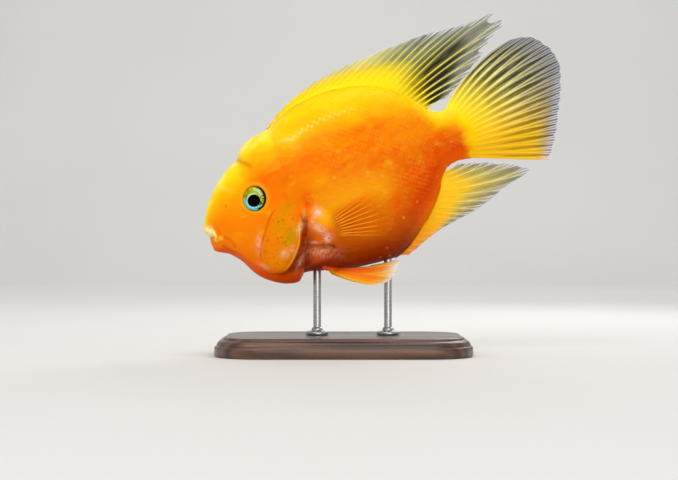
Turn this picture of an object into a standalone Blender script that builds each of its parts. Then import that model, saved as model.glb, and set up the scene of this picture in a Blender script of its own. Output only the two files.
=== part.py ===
# Blood parrot cichlid: one adult fish as a still, life-size model on a display stand.
#
# The fish is built in its own frame, in millimetres: s runs back from the upper lip,
# y to the fish's right and h up. An empty then tips it head down, as it swims, and
# lifts it over the stand. The stand is built upright, in the same units.

import math

import bmesh
import bpy
import numpy as np
from mathutils import Vector

MM = 0.001

# Driving dimensions
STANDARD_LENGTH = 142.4  # upper lip to the end of the tail stem
PITCH = math.radians(20)  # head down
GAP = 0.3  # between touching pieces
FIN_CLEARANCE = 26.0  # from the stand's base up to the lowest fin
BASE_LENGTH = 132.0
BASE_WIDTH = 78.0
BASE_HEIGHT = 10.0
BASE_CORNER = 24.0
BASE_EDGE = 1.6  # width of its softened edges
ROD_RADIUS = 2.0
ROD_CHAMFER = 0.7
FOOT_RADIUS = 6.0
FOOT_HEIGHT = 2.2
EYE_RADIUS = 7.0
EYE_DEPTH = 4.5  # half thickness of the eyeball, which is flatter than a ball

# Where the upper lip and the middle of the base are in the display frame
SNOUT_X = -92.288
BASE_X = -20.0
LOWEST_FIN = -29.54  # height of the lowest fin against the upper lip, once pitched

# Outlines of the body as (s, h)
BACK = [
    (-0.4, -1.0), (0.6, 1.9), (4.7, 9.1), (10.6, 16.3), (17.4, 21.9), (24.0, 25.8),
    (27.4, 27.3), (29.2, 29.6), (32.7, 33.1), (39.8, 35.8), (47.3, 36.8), (56.6, 40.6),
    (68.8, 43.9), (81.4, 45.0), (93.6, 43.6), (105.6, 40.0), (115.4, 34.6), (123.0, 27.4),
    (127.2, 22.0), (130.7, 17.8), (135.6, 15.2), (142.4, 15.4),
]
BELLY = [
    (-0.4, -9.9), (0.3, -11.8), (1.2, -13.2), (3.6, -14.8), (8.0, -17.3), (9.8, -19.4),
    (12.4, -22.6), (16.7, -31.0), (20.4, -35.4), (24.9, -38.9), (30.4, -41.8), (35.5, -43.0),
    (40.9, -41.8), (51.2, -42.4), (69.0, -46.3), (88.3, -48.0), (96.0, -45.3),
    (104.8, -39.3), (113.7, -32.2), (120.4, -24.6), (125.7, -16.4), (130.4, -12.9),
    (136.3, -12.0), (142.4, -13.4),
]
HALF_WIDTH = [
    (-0.4, 4.2), (4.0, 6.9), (8.0, 8.8), (14.0, 11.8), (20.0, 14.4), (30.0, 18.0),
    (42.0, 21.4), (55.0, 23.4), (70.0, 24.0), (85.0, 22.6), (100.0, 18.8), (112.0, 14.4),
    (122.0, 10.2), (130.0, 7.2), (136.0, 5.5), (142.4, 4.0),
]
WIDEST_LEVEL = [
    (-0.4, -5.6), (8.0, -6.6), (20.0, -6.2), (40.0, -8.0), (60.0, -8.0), (80.0, -5.0),
    (100.0, -1.0), (120.0, 0.8), (142.4, 1.0),
]
UPPER_ROUNDNESS = [(-0.4, 2.0), (20.0, 2.3), (40.0, 2.2), (60.0, 1.9), (142.4, 1.9)]
LOWER_ROUNDNESS = [(-0.4, 2.0), (15.0, 1.9), (40.0, 2.2), (80.0, 2.5), (110.0, 2.1), (142.4, 2.0)]

# The mouth, from its inside out to the groove behind the lips. Each ring is the front of
# the upper lip, the front of the lower lip, half width, height above the mouth line,
# height below it, and how far the corner lies behind the front.
MOUTH_BOTTOM = (6.8, -6.2)
MOUTH_LINE = -5.3
CORNER_DROP = 0.9
MOUTH_RINGS = [
    (5.2, 5.4, 3.0, 0.2, 0.2, 1.0),
    (3.0, 3.1, 4.9, 0.25, 0.22, 1.8),
    (1.1, 1.2, 5.9, 0.4, 0.34, 2.9),
    (-0.4, 0.9, 6.7, 2.3, 1.4, 4.2),
    (-0.9, 0.6, 7.4, 4.6, 3.4, 5.2),
    (0.3, 0.6, 7.4, 6.3, 5.3, 6.2),
]
CORNER_SETBACK = 7.4  # how far the rings lie back at the sides just behind the lips
SETBACK_END = 26.0

SIDES = 40
STATION_STEP = 3.1
EXTRA_STATIONS = (0.9, 1.9, 3.2, 4.8, 6.6, 8.6, 10.8, 13.2, 15.6, 18.2, 21.0, 23.8)

# Cuts between head, trunk and tail stem as (s, h), from above the back to below the belly
HEAD_CUT = [
    (45.6, 60.0), (46.6, 38.0), (51.0, 24.0), (54.6, 8.0), (54.6, -6.0), (52.6, -16.0),
    (48.4, -27.0), (43.4, -36.0), (40.4, -42.5), (38.4, -60.0),
]
STEM_CUT = [(136.0, 60.0), (131.9, 18.0), (127.4, -16.0), (121.0, -60.0)]
HEAD_LOFT_END = 62.0  # each loft runs a little past its cuts
TRUNK_LOFT = (36.0, 138.0)
STEM_LOFT_START = 118.0
CUTTER_REACH = 45.0  # how far the cutters run to each side of the fish
CUTTER_MARGIN = 10.0  # how far they run past the end of the loft that they cut

# Gill cover as (s, h) round its edge
GILL_EDGE = [
    (44.5, -2.6), (38.4, -4.4), (30.0, -13.2), (23.6, -22.8), (22.2, -29.4), (25.0, -34.0),
    (31.0, -35.4), (36.4, -32.8), (41.0, -28.5), (44.8, -23.6), (47.0, -18.4), (49.2, -12.4),
    (49.2, -5.6),
]
GILL_MIDDLE = (36.6, -18.8)
GILL_DEPTH = 1.5
GILL_BULGE = 1.1
GILL_SHARES = (0.0, 0.38, 0.7, 0.9, 1.0)  # how far out its rings of points lie
GILL_PROFILE = (1.0, 1.0, 0.9, 0.6, 0.1)  # share of the bulge at each of them
GILL_STEPS = 33
GILL_CLEARANCE = 5.0  # height of its recess over the skin

SIDES_OF_FISH = {"left": -1, "right": 1}
EYE_AT = (30.3, 4.8)
EYE_PROUD = 2.3  # how far the eyeball stands out of the head
NOSTRIL_AT = (14.6, 6.2)
NOSTRIL_RADIUS = 1.0
EYE_STEPS = (20, 12)
NOSTRIL_STEPS = (10, 6)

# Unpaired fins. A fin has a line of roots on the body and a line of tips, both as (s, h).
DORSAL_TIPS = [
    (51.0, 39.6), (55.6, 42.6), (62.2, 46.0), (70.1, 49.2), (80.5, 52.0), (91.9, 53.8),
    (105.5, 54.6), (119.3, 55.4), (130.0, 55.7), (141.0, 55.6),
]
DORSAL_SPINE_ROOTS = (48.2, 108.0)
DORSAL_SPINES = 16
DORSAL_SOFT_TIPS = [
    (147.6, 55.2), (154.6, 54.4), (161.8, 53.6), (170.0, 53.6), (178.4, 54.2),
    (183.0, 46.8), (174.0, 41.6), (166.0, 34.8), (158.0, 29.0), (150.2, 24.8), (142.0, 20.6),
]
DORSAL_SOFT_ROOTS = (111.4, 129.6)
ANAL_TIPS = [
    (95.4, -49.4), (99.8, -48.0), (104.4, -46.0), (108.8, -44.6), (113.2, -43.2),
    (117.6, -42.2), (122.4, -41.4), (127.4, -40.8),
]
ANAL_SPINE_ROOTS = (90.4, 111.6)
ANAL_SOFT_TIPS = [
    (132.4, -40.2), (139.0, -38.8), (146.6, -36.4), (155.0, -33.2), (168.9, -29.2),
    (160.6, -22.8), (151.0, -18.4), (142.6, -15.4), (135.6, -13.6),
]
ANAL_SOFT_ROOTS = (113.6, 127.2)
TAIL_TIPS = [
    (182.5, 37.5), (190.2, 36.4), (195.6, 32.6), (199.9, 26.5), (202.0, 17.7), (199.8, 7.8),
    (192.8, -7.6), (185.6, -21.0), (180.1, -28.0),
]
TAIL_RAYS = 16
TAIL_UPPER_BOW = 0.16  # how far its upper rays arch forwards, as a share of their length

# Paired fins, for the fish's left side
PECTORAL_ROOTS = [(58.8, -18.4), (59.4, -21.2), (60.4, -24.2), (61.8, -27.0)]
PECTORAL_TIPS = [
    (82.0, -8.6), (88.6, -11.4), (93.4, -16.8), (95.2, -23.4), (93.2, -29.8), (87.6, -34.4),
    (79.2, -36.6),
]
PECTORAL_RAYS = 12
PECTORAL_LIFTS = {"left": 1.2, "right": 4.0}  # how far the tips stand off the flank
PECTORAL_CLEARANCE = 0.25  # what the tips keep clear of it besides
PELVIC_ROOTS = [(51.6, 8.4), (53.4, 7.0), (55.2, 5.8), (57.0, 4.8)]  # (s, sideways)
PELVIC_BOW = (-1.5, 1.0, -2.4)  # how far the middle of each ray is bent off the straight
PELVIC_TIPS = [  # (s, sideways, h)
    (72.6, 12.8, -57.8), (81.0, 13.2, -58.4), (88.0, 12.4, -55.6), (91.5, 10.6, -51.9),
    (84.0, 7.4, -50.9), (74.6, 5.4, -49.6),
]

FIN_ROWS = {"dorsal": 8, "anal": 7, "tail": 9, "pectoral": 8, "pelvic": 8}  # points along a ray
# How far the edge is drawn in between two rays
FIN_NOTCH = {"dorsal": 1.1, "anal": 0.9, "tail": 0.6, "pectoral": 0.6, "pelvic": 0.8}
# How far the rays bow off the straight and sway sideways, against their length, and the
# length of one wave of that sway. The tail's rays bow as TAIL_UPPER_BOW says.
FIN_CURVES = {
    "dorsal": (0.06, 0.045, 17.0),
    "anal": (-0.05, 0.04, 15.0),
    "tail": (-0.05, 26.0),
}
# Half the thickness of each fin's membrane at root and edge, how fast it thins, and the
# height of the ridge along each ray
FIN_BUILD = {
    "dorsal": (1.2, 0.27, 2.6, 0.42),
    "anal": (1.15, 0.27, 2.4, 0.42),
    "tail": (3.5, 0.27, 5.0, 0.45),
    "pectoral": (1.2, 0.26, 3.0, 0.36),
    "pelvic": (1.1, 0.27, 2.0, 0.4),
}
RIDGE_ANGLE = math.radians(8)  # faces that meet at more than this show an edge
TAIL_RIM = 0.6  # half the tail fin's thickness at its root's two ends

ROD_STATIONS = {"front": 47.0, "rear": 84.0}
ROD_SIDES = 20
SOCKET_DEPTH = 8.0
SOCKET_SIDES = 24
SOCKET_REACH = 40.0  # length of the cutter that makes it
CORNER_SEGMENTS = 8

# Colour, roughness and metallic value of each kind of piece
LOOKS = {
    "head": ((0.95, 0.45, 0.03), 0.35, 0.0),
    "trunk": ((0.93, 0.33, 0.02), 0.35, 0.0),
    "tail_stem": ((0.95, 0.55, 0.03), 0.35, 0.0),
    "gill_cover": ((0.90, 0.52, 0.10), 0.35, 0.0),
    "eye": ((0.12, 0.50, 0.50), 0.08, 0.0),
    "dorsal_fin": ((0.95, 0.68, 0.10), 0.40, 0.0),
    "anal_fin": ((0.95, 0.62, 0.08), 0.40, 0.0),
    "tail_fin": ((0.95, 0.72, 0.12), 0.40, 0.0),
    "pectoral_fin": ((0.93, 0.45, 0.05), 0.40, 0.0),
    "pelvic_fin": ((0.95, 0.50, 0.05), 0.40, 0.0),
    "stand_base": ((0.09, 0.045, 0.025), 0.40, 0.0),
    "stand_rod": ((0.62, 0.62, 0.62), 0.25, 1.0),
}


# Curves and the body's surface


def curve_through(points):
    """A smooth function through (x, y) points that never overshoots them."""
    xs, ys = np.array(points, float).T
    step = np.diff(xs)
    rise = np.diff(ys) / step
    slope = np.zeros(len(xs))
    slope[0], slope[-1] = rise[0], rise[-1]
    for i in range(1, len(xs) - 1):
        if rise[i - 1] * rise[i] > 0:
            before = 2 * step[i] + step[i - 1]
            after = step[i] + 2 * step[i - 1]
            slope[i] = (before + after) / (before / rise[i - 1] + after / rise[i])

    def value(x):
        x = np.clip(x, xs[0], xs[-1])
        i = np.clip(np.searchsorted(xs, x, side="right") - 1, 0, len(xs) - 2)
        t = (x - xs[i]) / step[i]
        ends = ys[i] * (1 + 2 * t) * (1 - t) ** 2 + ys[i + 1] * t * t * (3 - 2 * t)
        slopes = slope[i] * t * (1 - t) ** 2 - slope[i + 1] * t * t * (1 - t)
        return ends + slopes * step[i]

    return value


back = curve_through(BACK)
belly = curve_through(BELLY)
half_width = curve_through(HALF_WIDTH)
widest_level = curve_through(WIDEST_LEVEL)
upper_roundness = curve_through(UPPER_ROUNDNESS)
lower_roundness = curve_through(LOWER_ROUNDNESS)


def flank(s, h):
    """Half the body's width at station s and height h."""
    level = widest_level(s)
    up = np.clip((h - level) / (back(s) - level), 0, 1) ** upper_roundness(s)
    down = np.clip((level - h) / (level - belly(s)), 0, 1) ** lower_roundness(s)
    return half_width(s) * np.sqrt(np.clip(1 - up - down, 0, 1))


def girth(s, angle):
    """The body's surface at station s, at this angle round it from the back."""
    level = widest_level(s)
    rise = np.abs(np.cos(angle))
    up = (back(s) - level) * rise ** (2 / upper_roundness(s))
    down = (level - belly(s)) * rise ** (2 / lower_roundness(s))
    h = level + np.where(np.cos(angle) > 0, up, -down)
    return np.stack([s, half_width(s) * np.sin(angle), h], axis=-1)


def on_flank(s, h, side, out=0.0):
    """The point at (s, h) on the left (-1) or right (+1) flank, moved out along the surface's normal."""
    reach = 0.2
    lean_s = (flank(s + reach, h) - flank(s - reach, h)) / (2 * reach)
    lean_h = (flank(s, h + reach) - flank(s, h - reach)) / (2 * reach)
    normal = Vector((-lean_s, side, -lean_h)).normalized()
    return Vector((s, side * float(flank(s, h)), h)) + normal * out, normal


def under_belly(s, sideways):
    """Height of the body's underside at station s, this far off the middle."""
    share = 1 - min(abs(sideways) / float(half_width(s)), 1) ** 2
    level = float(widest_level(s))
    return level - (level - float(belly(s))) * share ** (1 / float(lower_roundness(s)))


def spread(points, count):
    """count points evenly spaced along the smooth line through these ones."""
    points = np.array(points, float)
    knots = np.concatenate([[0], np.cumsum(np.linalg.norm(np.diff(points, axis=0), axis=1))])
    lines = [curve_through(np.stack([knots, axis], axis=1)) for axis in points.T]
    fine = np.linspace(0, knots[-1], 400)
    line = np.stack([axis(fine) for axis in lines], axis=1)
    run = np.concatenate([[0], np.cumsum(np.linalg.norm(np.diff(line, axis=0), axis=1))])
    places = np.interp(np.linspace(0, run[-1], count), run, fine)
    return np.stack([axis(places) for axis in lines], axis=1)


# Objects


def clear_scene():
    for obj in list(bpy.data.objects):
        bpy.data.objects.remove(obj)


def new_collection(name):
    collection = bpy.data.collections.new(name)
    bpy.context.scene.collection.children.link(collection)
    return collection


def dress(obj):
    """Gives a piece a material of its own, in its kind's look."""
    kind = next(kind for kind in LOOKS if obj.name.startswith(kind))
    colour, roughness, metallic = LOOKS[kind]
    made = bpy.data.materials.new(obj.name)
    made.use_nodes = True
    shader = made.node_tree.nodes["Principled BSDF"]
    shader.inputs["Base Color"].default_value = (*colour, 1)
    shader.inputs["Roughness"].default_value = roughness
    shader.inputs["Metallic"].default_value = metallic
    obj.data.materials.append(made)
    return obj


def placed(mesh, collection, pose=None):
    """A smooth object of this mesh, carried by the pose if there is one."""
    mesh.shade_smooth()
    obj = bpy.data.objects.new(mesh.name, mesh)
    collection.objects.link(obj)
    obj.parent = pose
    return obj


def mesh_object(name, points, faces, collection, pose):
    """An object from points in millimetres, with its faces turned outwards."""
    mesh = bpy.data.meshes.new(name)
    mesh.from_pydata([tuple(np.array(p) * MM) for p in points], [], faces)
    shell = bmesh.new()
    shell.from_mesh(mesh)
    bmesh.ops.recalc_face_normals(shell, faces=shell.faces)
    shell.to_mesh(mesh)
    shell.free()
    return placed(mesh, collection, pose)


def ball(name, radii, centre, turn, steps, collection, pose):
    """An ellipsoid with these half axes, in millimetres, turned and then moved to its centre."""
    shape = bmesh.new()
    bmesh.ops.create_uvsphere(shape, u_segments=steps[0], v_segments=steps[1], radius=MM)
    bmesh.ops.scale(shape, vec=radii, verts=shape.verts)
    bmesh.ops.rotate(shape, matrix=turn, verts=shape.verts)
    bmesh.ops.translate(shape, vec=centre * MM, verts=shape.verts)
    mesh = bpy.data.meshes.new(name)
    shape.to_mesh(mesh)
    shape.free()
    return placed(mesh, collection, pose)


def cutter(obj):
    obj.hide_render = True
    obj.display_type = "WIRE"
    return obj


def cut_with(obj, cutters):
    """Takes the closed bodies in a collection out of obj."""
    cut = obj.modifiers.new("cut", "BOOLEAN")
    cut.operation = "DIFFERENCE"
    cut.operand_type = "COLLECTION"
    cut.collection = cutters


# Flesh


def mouth_ring(ring, angle):
    """One ring of the mouth, at each angle round the mouth line."""
    upper, lower, width, above, below, setback = ring
    rise, aside = np.cos(angle), np.sin(angle)
    front = lower + (upper - lower) * (1 + rise) / 2
    height = np.where(rise > 0, above, below) * rise
    return np.stack(
        [front + setback * aside**2, width * aside, MOUTH_LINE - CORNER_DROP * aside**2 + height],
        axis=-1,
    )


def body_ring(station, angle):
    """One ring of the body. Near the mouth it lies further back at the sides."""
    setback = CORNER_SETBACK * max(0.0, 1 - station / SETBACK_END) ** 1.5
    return girth(station + setback * np.sin(angle) ** 2, angle)


def loft(name, rings, parts, pose, pole=None):
    """A closed skin over rings of points. It starts at a pole or a flat end and ends flat."""
    sides = len(rings[0])
    points = [point for ring in rings for point in ring]
    faces = []
    for start in range(0, (len(rings) - 1) * sides, sides):
        for k in range(sides):
            nxt = (k + 1) % sides
            faces.append((start + k, start + nxt, start + sides + nxt, start + sides + k))
    last = (len(rings) - 1) * sides
    for start, middle in ((0, pole), (last, None)):
        if middle is None:
            middle = np.mean(points[start : start + sides], axis=0)
        points.append(middle)
        hub = len(points) - 1
        faces += [(start + k, start + (k + 1) % sides, hub) for k in range(sides)]
    return dress(mesh_object(name, points, faces, parts, pose))


def slab(name, line, far, cutters, pose):
    """A cutter for all that lies between a line of (s, h) and the station far beyond it."""
    outline = list(line) + [(far, line[-1][1]), (far, line[0][1])]
    count = len(outline)
    points = [(s, y, h) for y in (-CUTTER_REACH, CUTTER_REACH) for s, h in outline]
    faces = [tuple(range(count)), tuple(range(count, 2 * count))]
    faces += [(k, (k + 1) % count, count + (k + 1) % count, count + k) for k in range(count)]
    return cutter(mesh_object(name, points, faces, cutters, pose))


def shifted(line, by):
    return [(s + by, h) for s, h in line]


def gill_patch(name, side, floor, top, grow, collection, pose):
    """A plate on the flank inside the gill cover's edge, from floor to top over the skin.

    floor is one height and top has one for each share of the way out to the edge. grow
    moves the edge outwards.
    """
    edge = spread(GILL_EDGE + GILL_EDGE[:1], GILL_STEPS + 1)[:-1]
    middle = np.array(GILL_MIDDLE)
    points = []
    for heights in ([floor] * len(GILL_SHARES), top):
        points.append(on_flank(*middle, side, heights[0])[0])
        for share, height in zip(GILL_SHARES[1:], heights[1:]):
            for spot in edge:
                way = spot - middle
                reach = share + grow * share / np.linalg.norm(way)
                points.append(on_flank(*(middle + way * reach), side, height)[0])
    layers = len(GILL_SHARES) - 1
    sheet = 1 + layers * GILL_STEPS
    rim = sheet - GILL_STEPS
    faces = []
    for k in range(GILL_STEPS):
        nxt = (k + 1) % GILL_STEPS
        for start in (0, sheet):
            faces.append((start, start + 1 + k, start + 1 + nxt))
            for a in range(start + 1, start + rim, GILL_STEPS):
                b = a + GILL_STEPS
                faces += [(a + k, b + k, b + nxt), (a + k, b + nxt, a + nxt)]
        faces.append((rim + k, rim + nxt, sheet + rim + nxt, sheet + rim + k))
    return mesh_object(name, points, faces, collection, pose)


def eyeball(name, side, grow, collection, pose):
    """A flattened ball that looks out along the flank's normal."""
    rim, normal = on_flank(*EYE_AT, side)
    radii = (EYE_RADIUS + grow, EYE_RADIUS + grow, EYE_DEPTH + grow)
    centre = rim + normal * (EYE_PROUD - EYE_DEPTH)
    turn = normal.to_track_quat("Z", "Y").to_matrix()
    return ball(name, radii, centre, turn, EYE_STEPS, collection, pose)


def nostril(name, side, cutters, pose):
    spot, normal = on_flank(*NOSTRIL_AT, side, NOSTRIL_RADIUS / 5)
    turn = normal.to_track_quat("Z", "Y").to_matrix()
    return ball(name, (NOSTRIL_RADIUS,) * 3, spot, turn, NOSTRIL_STEPS, cutters, pose)


def make_flesh(parts, pose):
    """Head, trunk and tail stem, each lofted a little past its cuts and then cut to them."""
    angle = np.linspace(0, 2 * math.pi, SIDES, endpoint=False)
    regular = np.arange(EXTRA_STATIONS[-1] + STATION_STEP, STANDARD_LENGTH - 1, STATION_STEP)
    stations = np.concatenate([EXTRA_STATIONS, regular, [STANDARD_LENGTH]])

    def rings(first, last):
        return [body_ring(s, angle) for s in stations if first <= s <= last]

    mouth = [mouth_ring(ring, angle) for ring in MOUTH_RINGS]
    pole = (MOUTH_BOTTOM[0], 0.0, MOUTH_BOTTOM[1])
    head = loft("head", mouth + rings(0, HEAD_LOFT_END), parts, pose, pole)
    trunk = loft("trunk", rings(*TRUNK_LOFT), parts, pose)
    stem = loft("tail_stem", rings(STEM_LOFT_START, STANDARD_LENGTH), parts, pose)

    head_cutters = new_collection("head_cutters")
    end = HEAD_LOFT_END + CUTTER_MARGIN
    slab("behind_head", shifted(HEAD_CUT, -GAP / 2), end, head_cutters, pose)
    for label, side in SIDES_OF_FISH.items():
        cutter(eyeball(f"eye_socket_{label}", side, GAP, head_cutters, pose))
        cutter(nostril(f"nostril_{label}", side, head_cutters, pose))
        top = [GILL_CLEARANCE] * len(GILL_SHARES)
        recess = f"gill_recess_{label}"
        cutter(gill_patch(recess, side, -GILL_DEPTH - GAP, top, GAP, head_cutters, pose))
    cut_with(head, head_cutters)

    trunk_cutters = new_collection("trunk_cutters")
    start, end = TRUNK_LOFT[0] - CUTTER_MARGIN, TRUNK_LOFT[1] + CUTTER_MARGIN
    slab("before_trunk", shifted(HEAD_CUT, GAP / 2), start, trunk_cutters, pose)
    slab("behind_trunk", shifted(STEM_CUT, -GAP / 2), end, trunk_cutters, pose)
    for label in ROD_STATIONS:
        rod_socket(label, trunk_cutters)
    cut_with(trunk, trunk_cutters)

    stem_cutters = new_collection("stem_cutters")
    start = STEM_LOFT_START - CUTTER_MARGIN
    slab("before_stem", shifted(STEM_CUT, GAP / 2), start, stem_cutters, pose)
    cut_with(stem, stem_cutters)


def make_head_pieces(parts, pose):
    """The two gill covers, set flush in the head with a bulge, and the two eyes."""
    top = [GILL_BULGE * share for share in GILL_PROFILE]
    for label, side in SIDES_OF_FISH.items():
        dress(gill_patch(f"gill_cover_{label}", side, -GILL_DEPTH, top, 0.0, parts, pose))
        dress(eyeball(f"eye_{label}", side, 0.0, parts, pose))


# Fins


def fin(name, rays, build, notch, parts, pose, stem_end=False):
    """A membrane with a raised ridge along every ray, closed all round.

    rays holds the points of each ray from root to tip. The edge is drawn in between rays
    by notch, in millimetres. With stem_end the root is as round as the end of the stem.
    """
    root_half, edge_half, thinning, ridge = build
    rays = np.array(rays, float)
    count, rows = rays.shape[:2]
    columns = 2 * count - 1
    out = np.linspace(0, 1, rows)
    middle = np.zeros((columns, rows, 3))
    middle[::2] = rays
    between = (rays[:-1] + rays[1:]) / 2
    inward = between[:, -2] - between[:, -1]
    inward *= notch / np.linalg.norm(inward, axis=1, keepdims=True)
    middle[1::2] = between + inward[:, None] * (out**4)[None, :, None]
    across = np.linspace(-1, 1, columns)[:, None]
    root = np.full_like(across, root_half)
    if stem_end:
        root = TAIL_RIM + (root_half - TAIL_RIM) * np.sqrt(1 - across**2)
    half = edge_half + (root - edge_half) * (1 - out[None, :]) ** thinning
    half[::2] += ridge * ridge_share(out)
    normal = np.cross(np.gradient(middle, axis=1), np.gradient(middle, axis=0))
    normal /= np.linalg.norm(normal, axis=2, keepdims=True)
    offset = normal * half[..., None]
    points = np.concatenate([(middle + offset).reshape(-1, 3), (middle - offset).reshape(-1, 3)])
    far = columns * rows
    faces = []
    for i in range(columns - 1):
        for j in range(rows - 1):
            a, b = i * rows + j, (i + 1) * rows + j
            for start in (0, far):
                faces.append((start + a, start + a + 1, start + b + 1))
                faces.append((start + a, start + b + 1, start + b))
    rim = [i * rows for i in range(columns)]
    rim += [(columns - 1) * rows + j for j in range(1, rows)]
    rim += [i * rows + rows - 1 for i in range(columns - 2, -1, -1)]
    rim += list(range(rows - 2, 0, -1))
    for k, a in enumerate(rim):
        b = rim[(k + 1) % len(rim)]
        faces.append((a, b, far + b, far + a))
    obj = mesh_object(name, points, faces, parts, pose)
    obj.data.set_sharp_from_angle(angle=RIDGE_ANGLE)
    return dress(obj)


def ridge_share(out):
    """Share of a ray's full ridge height at each share of the way out."""
    return np.sin(np.pi * (0.06 + 0.9 * out)) ** 0.6


def fin_half(build, out):
    """Half the thickness of a paired fin over its rays, at each share of the way out."""
    root_half, edge_half, thinning, ridge = build
    return edge_half + (root_half - edge_half) * (1 - out) ** thinning + ridge * ridge_share(out)


def bent(root, knee, tip, rows):
    """Points on one ray that leaves its root towards the knee and ends at its tip."""
    t = np.linspace(0, 1, rows)[:, None]
    root, knee, tip = (np.array(p, float) for p in (root, knee, tip))
    return root * (1 - t) ** 2 + knee * 2 * t * (1 - t) + tip * t * t


def flat_rays(roots, tips, rows, bow, sway, wave):
    """Rays in the fish's middle plane, bowed off the straight and waved a little sideways."""
    rays = []
    for root, tip, arch in zip(roots, tips, np.broadcast_to(bow, len(roots))):
        way = tip - root
        knee = root + way / 2 + np.array([-way[1], way[0]]) * arch
        line = bent(root, knee, tip, rows)
        reach = np.linalg.norm(line - root, axis=1)
        aside = sway * reach * np.sin(line[:, 0] / wave)
        rays.append(np.stack([line[:, 0], aside, line[:, 1]], axis=1))
    return rays


def edge_roots(edge, first, last, count, out):
    """Roots evenly spaced along the back or belly, moved off it by out."""
    stations = np.linspace(first, last, 200)
    roots = spread(np.stack([stations, edge(stations)], axis=1), count)
    lean = (edge(roots[:, 0] + 0.3) - edge(roots[:, 0] - 0.3)) / 0.6
    normal = np.stack([-lean, np.ones(count)], axis=1) / np.sqrt(1 + lean**2)[:, None]
    return roots + normal * out


def make_dorsal_fin(parts, pose):
    spiny = edge_roots(back, *DORSAL_SPINE_ROOTS, DORSAL_SPINES, GAP)
    soft = edge_roots(back, *DORSAL_SOFT_ROOTS, len(DORSAL_SOFT_TIPS), GAP)
    tips = np.concatenate([spread(DORSAL_TIPS, DORSAL_SPINES), DORSAL_SOFT_TIPS])
    rays = flat_rays(np.concatenate([spiny, soft]), tips, FIN_ROWS["dorsal"], *FIN_CURVES["dorsal"])
    return fin("dorsal_fin", rays, FIN_BUILD["dorsal"], FIN_NOTCH["dorsal"], parts, pose)


def make_anal_fin(parts, pose):
    spiny = edge_roots(belly, *ANAL_SPINE_ROOTS, len(ANAL_TIPS), -GAP)
    soft = edge_roots(belly, *ANAL_SOFT_ROOTS, len(ANAL_SOFT_TIPS), -GAP)
    tips = np.array(ANAL_TIPS + ANAL_SOFT_TIPS)
    rays = flat_rays(np.concatenate([spiny, soft]), tips, FIN_ROWS["anal"], *FIN_CURVES["anal"])
    return fin("anal_fin", rays, FIN_BUILD["anal"], FIN_NOTCH["anal"], parts, pose)


def make_tail_fin(parts, pose):
    top, bottom = float(back(STANDARD_LENGTH)), float(belly(STANDARD_LENGTH))
    heights = np.linspace(top - GAP, bottom + GAP, TAIL_RAYS)
    roots = np.stack([np.full(TAIL_RAYS, STANDARD_LENGTH + GAP), heights], axis=1)
    tips = spread(TAIL_TIPS, TAIL_RAYS)
    bows = TAIL_UPPER_BOW * np.linspace(1, 0, TAIL_RAYS) ** 2
    rays = flat_rays(roots, tips, FIN_ROWS["tail"], bows, *FIN_CURVES["tail"])
    return fin("tail_fin", rays, FIN_BUILD["tail"], FIN_NOTCH["tail"], parts, pose, stem_end=True)


def make_pectoral_fin(label, parts, pose):
    """A fan that lies over the flank and stands off it towards the tips."""
    rows = FIN_ROWS["pectoral"]
    out = np.linspace(0, 1, rows)
    build = FIN_BUILD["pectoral"]
    clear = GAP + fin_half(build, out) + PECTORAL_CLEARANCE * out
    clear += PECTORAL_LIFTS[label] * out**1.6
    rays = []
    for root, tip in zip(spread(PECTORAL_ROOTS, PECTORAL_RAYS), spread(PECTORAL_TIPS, PECTORAL_RAYS)):
        line = bent(root, (root + tip) / 2, tip, rows)
        side = SIDES_OF_FISH[label]
        rays.append([on_flank(s, h, side, rise)[0] for (s, h), rise in zip(line, clear)])
    return fin(f"pectoral_fin_{label}", rays, build, FIN_NOTCH["pectoral"], parts, pose)


def make_pelvic_fin(label, parts, pose):
    """A fin folded back under the belly, its leading ray outermost and lowest."""
    rows = FIN_ROWS["pelvic"]
    side = SIDES_OF_FISH[label]
    build = FIN_BUILD["pelvic"]
    clear = GAP + fin_half(build, np.linspace(0, 1, rows))
    rays = []
    for (s, aside), tip in zip(spread(PELVIC_ROOTS, len(PELVIC_TIPS)), PELVIC_TIPS):
        root = np.array([s, side * aside, under_belly(s, aside) - clear[0]])
        tip = np.array([tip[0], side * tip[1], tip[2]])
        knee = (root + tip) / 2 + np.array([PELVIC_BOW[0], side * PELVIC_BOW[1], PELVIC_BOW[2]])
        line = bent(root, knee, tip, rows)
        lowest = [under_belly(p[0], p[1]) - gap for p, gap in zip(line, clear)]
        line[:, 2] = np.minimum(line[:, 2], lowest)
        rays.append(line)
    return fin(f"pelvic_fin_{label}", rays, build, FIN_NOTCH["pelvic"], parts, pose)


# Display stand


def displayed(s, h):
    """Where a point of the fish's middle plane lies in the display frame, as (x, z)."""
    fish_z = BASE_HEIGHT + FIN_CLEARANCE - LOWEST_FIN
    x = SNOUT_X + s * math.cos(PITCH) - h * math.sin(PITCH)
    return x, fish_z + s * math.sin(PITCH) + h * math.cos(PITCH)


def rod_top(label):
    """Foot of the rod and the height at which it meets the belly."""
    station = ROD_STATIONS[label]
    return displayed(station, float(belly(station)))


def rod_socket(label, cutters):
    x, z = rod_top(label)
    bpy.ops.mesh.primitive_cylinder_add(
        vertices=SOCKET_SIDES,
        radius=(ROD_RADIUS + GAP) * MM,
        depth=SOCKET_REACH * MM,
        location=(x * MM, 0, (z + SOCKET_DEPTH - SOCKET_REACH / 2) * MM),
    )
    socket = bpy.context.object
    socket.name = f"rod_socket_{label}"
    move_to(socket, cutters)
    return cutter(socket)


def move_to(obj, collection):
    for old in list(obj.users_collection):
        old.objects.unlink(obj)
    collection.objects.link(obj)


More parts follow.
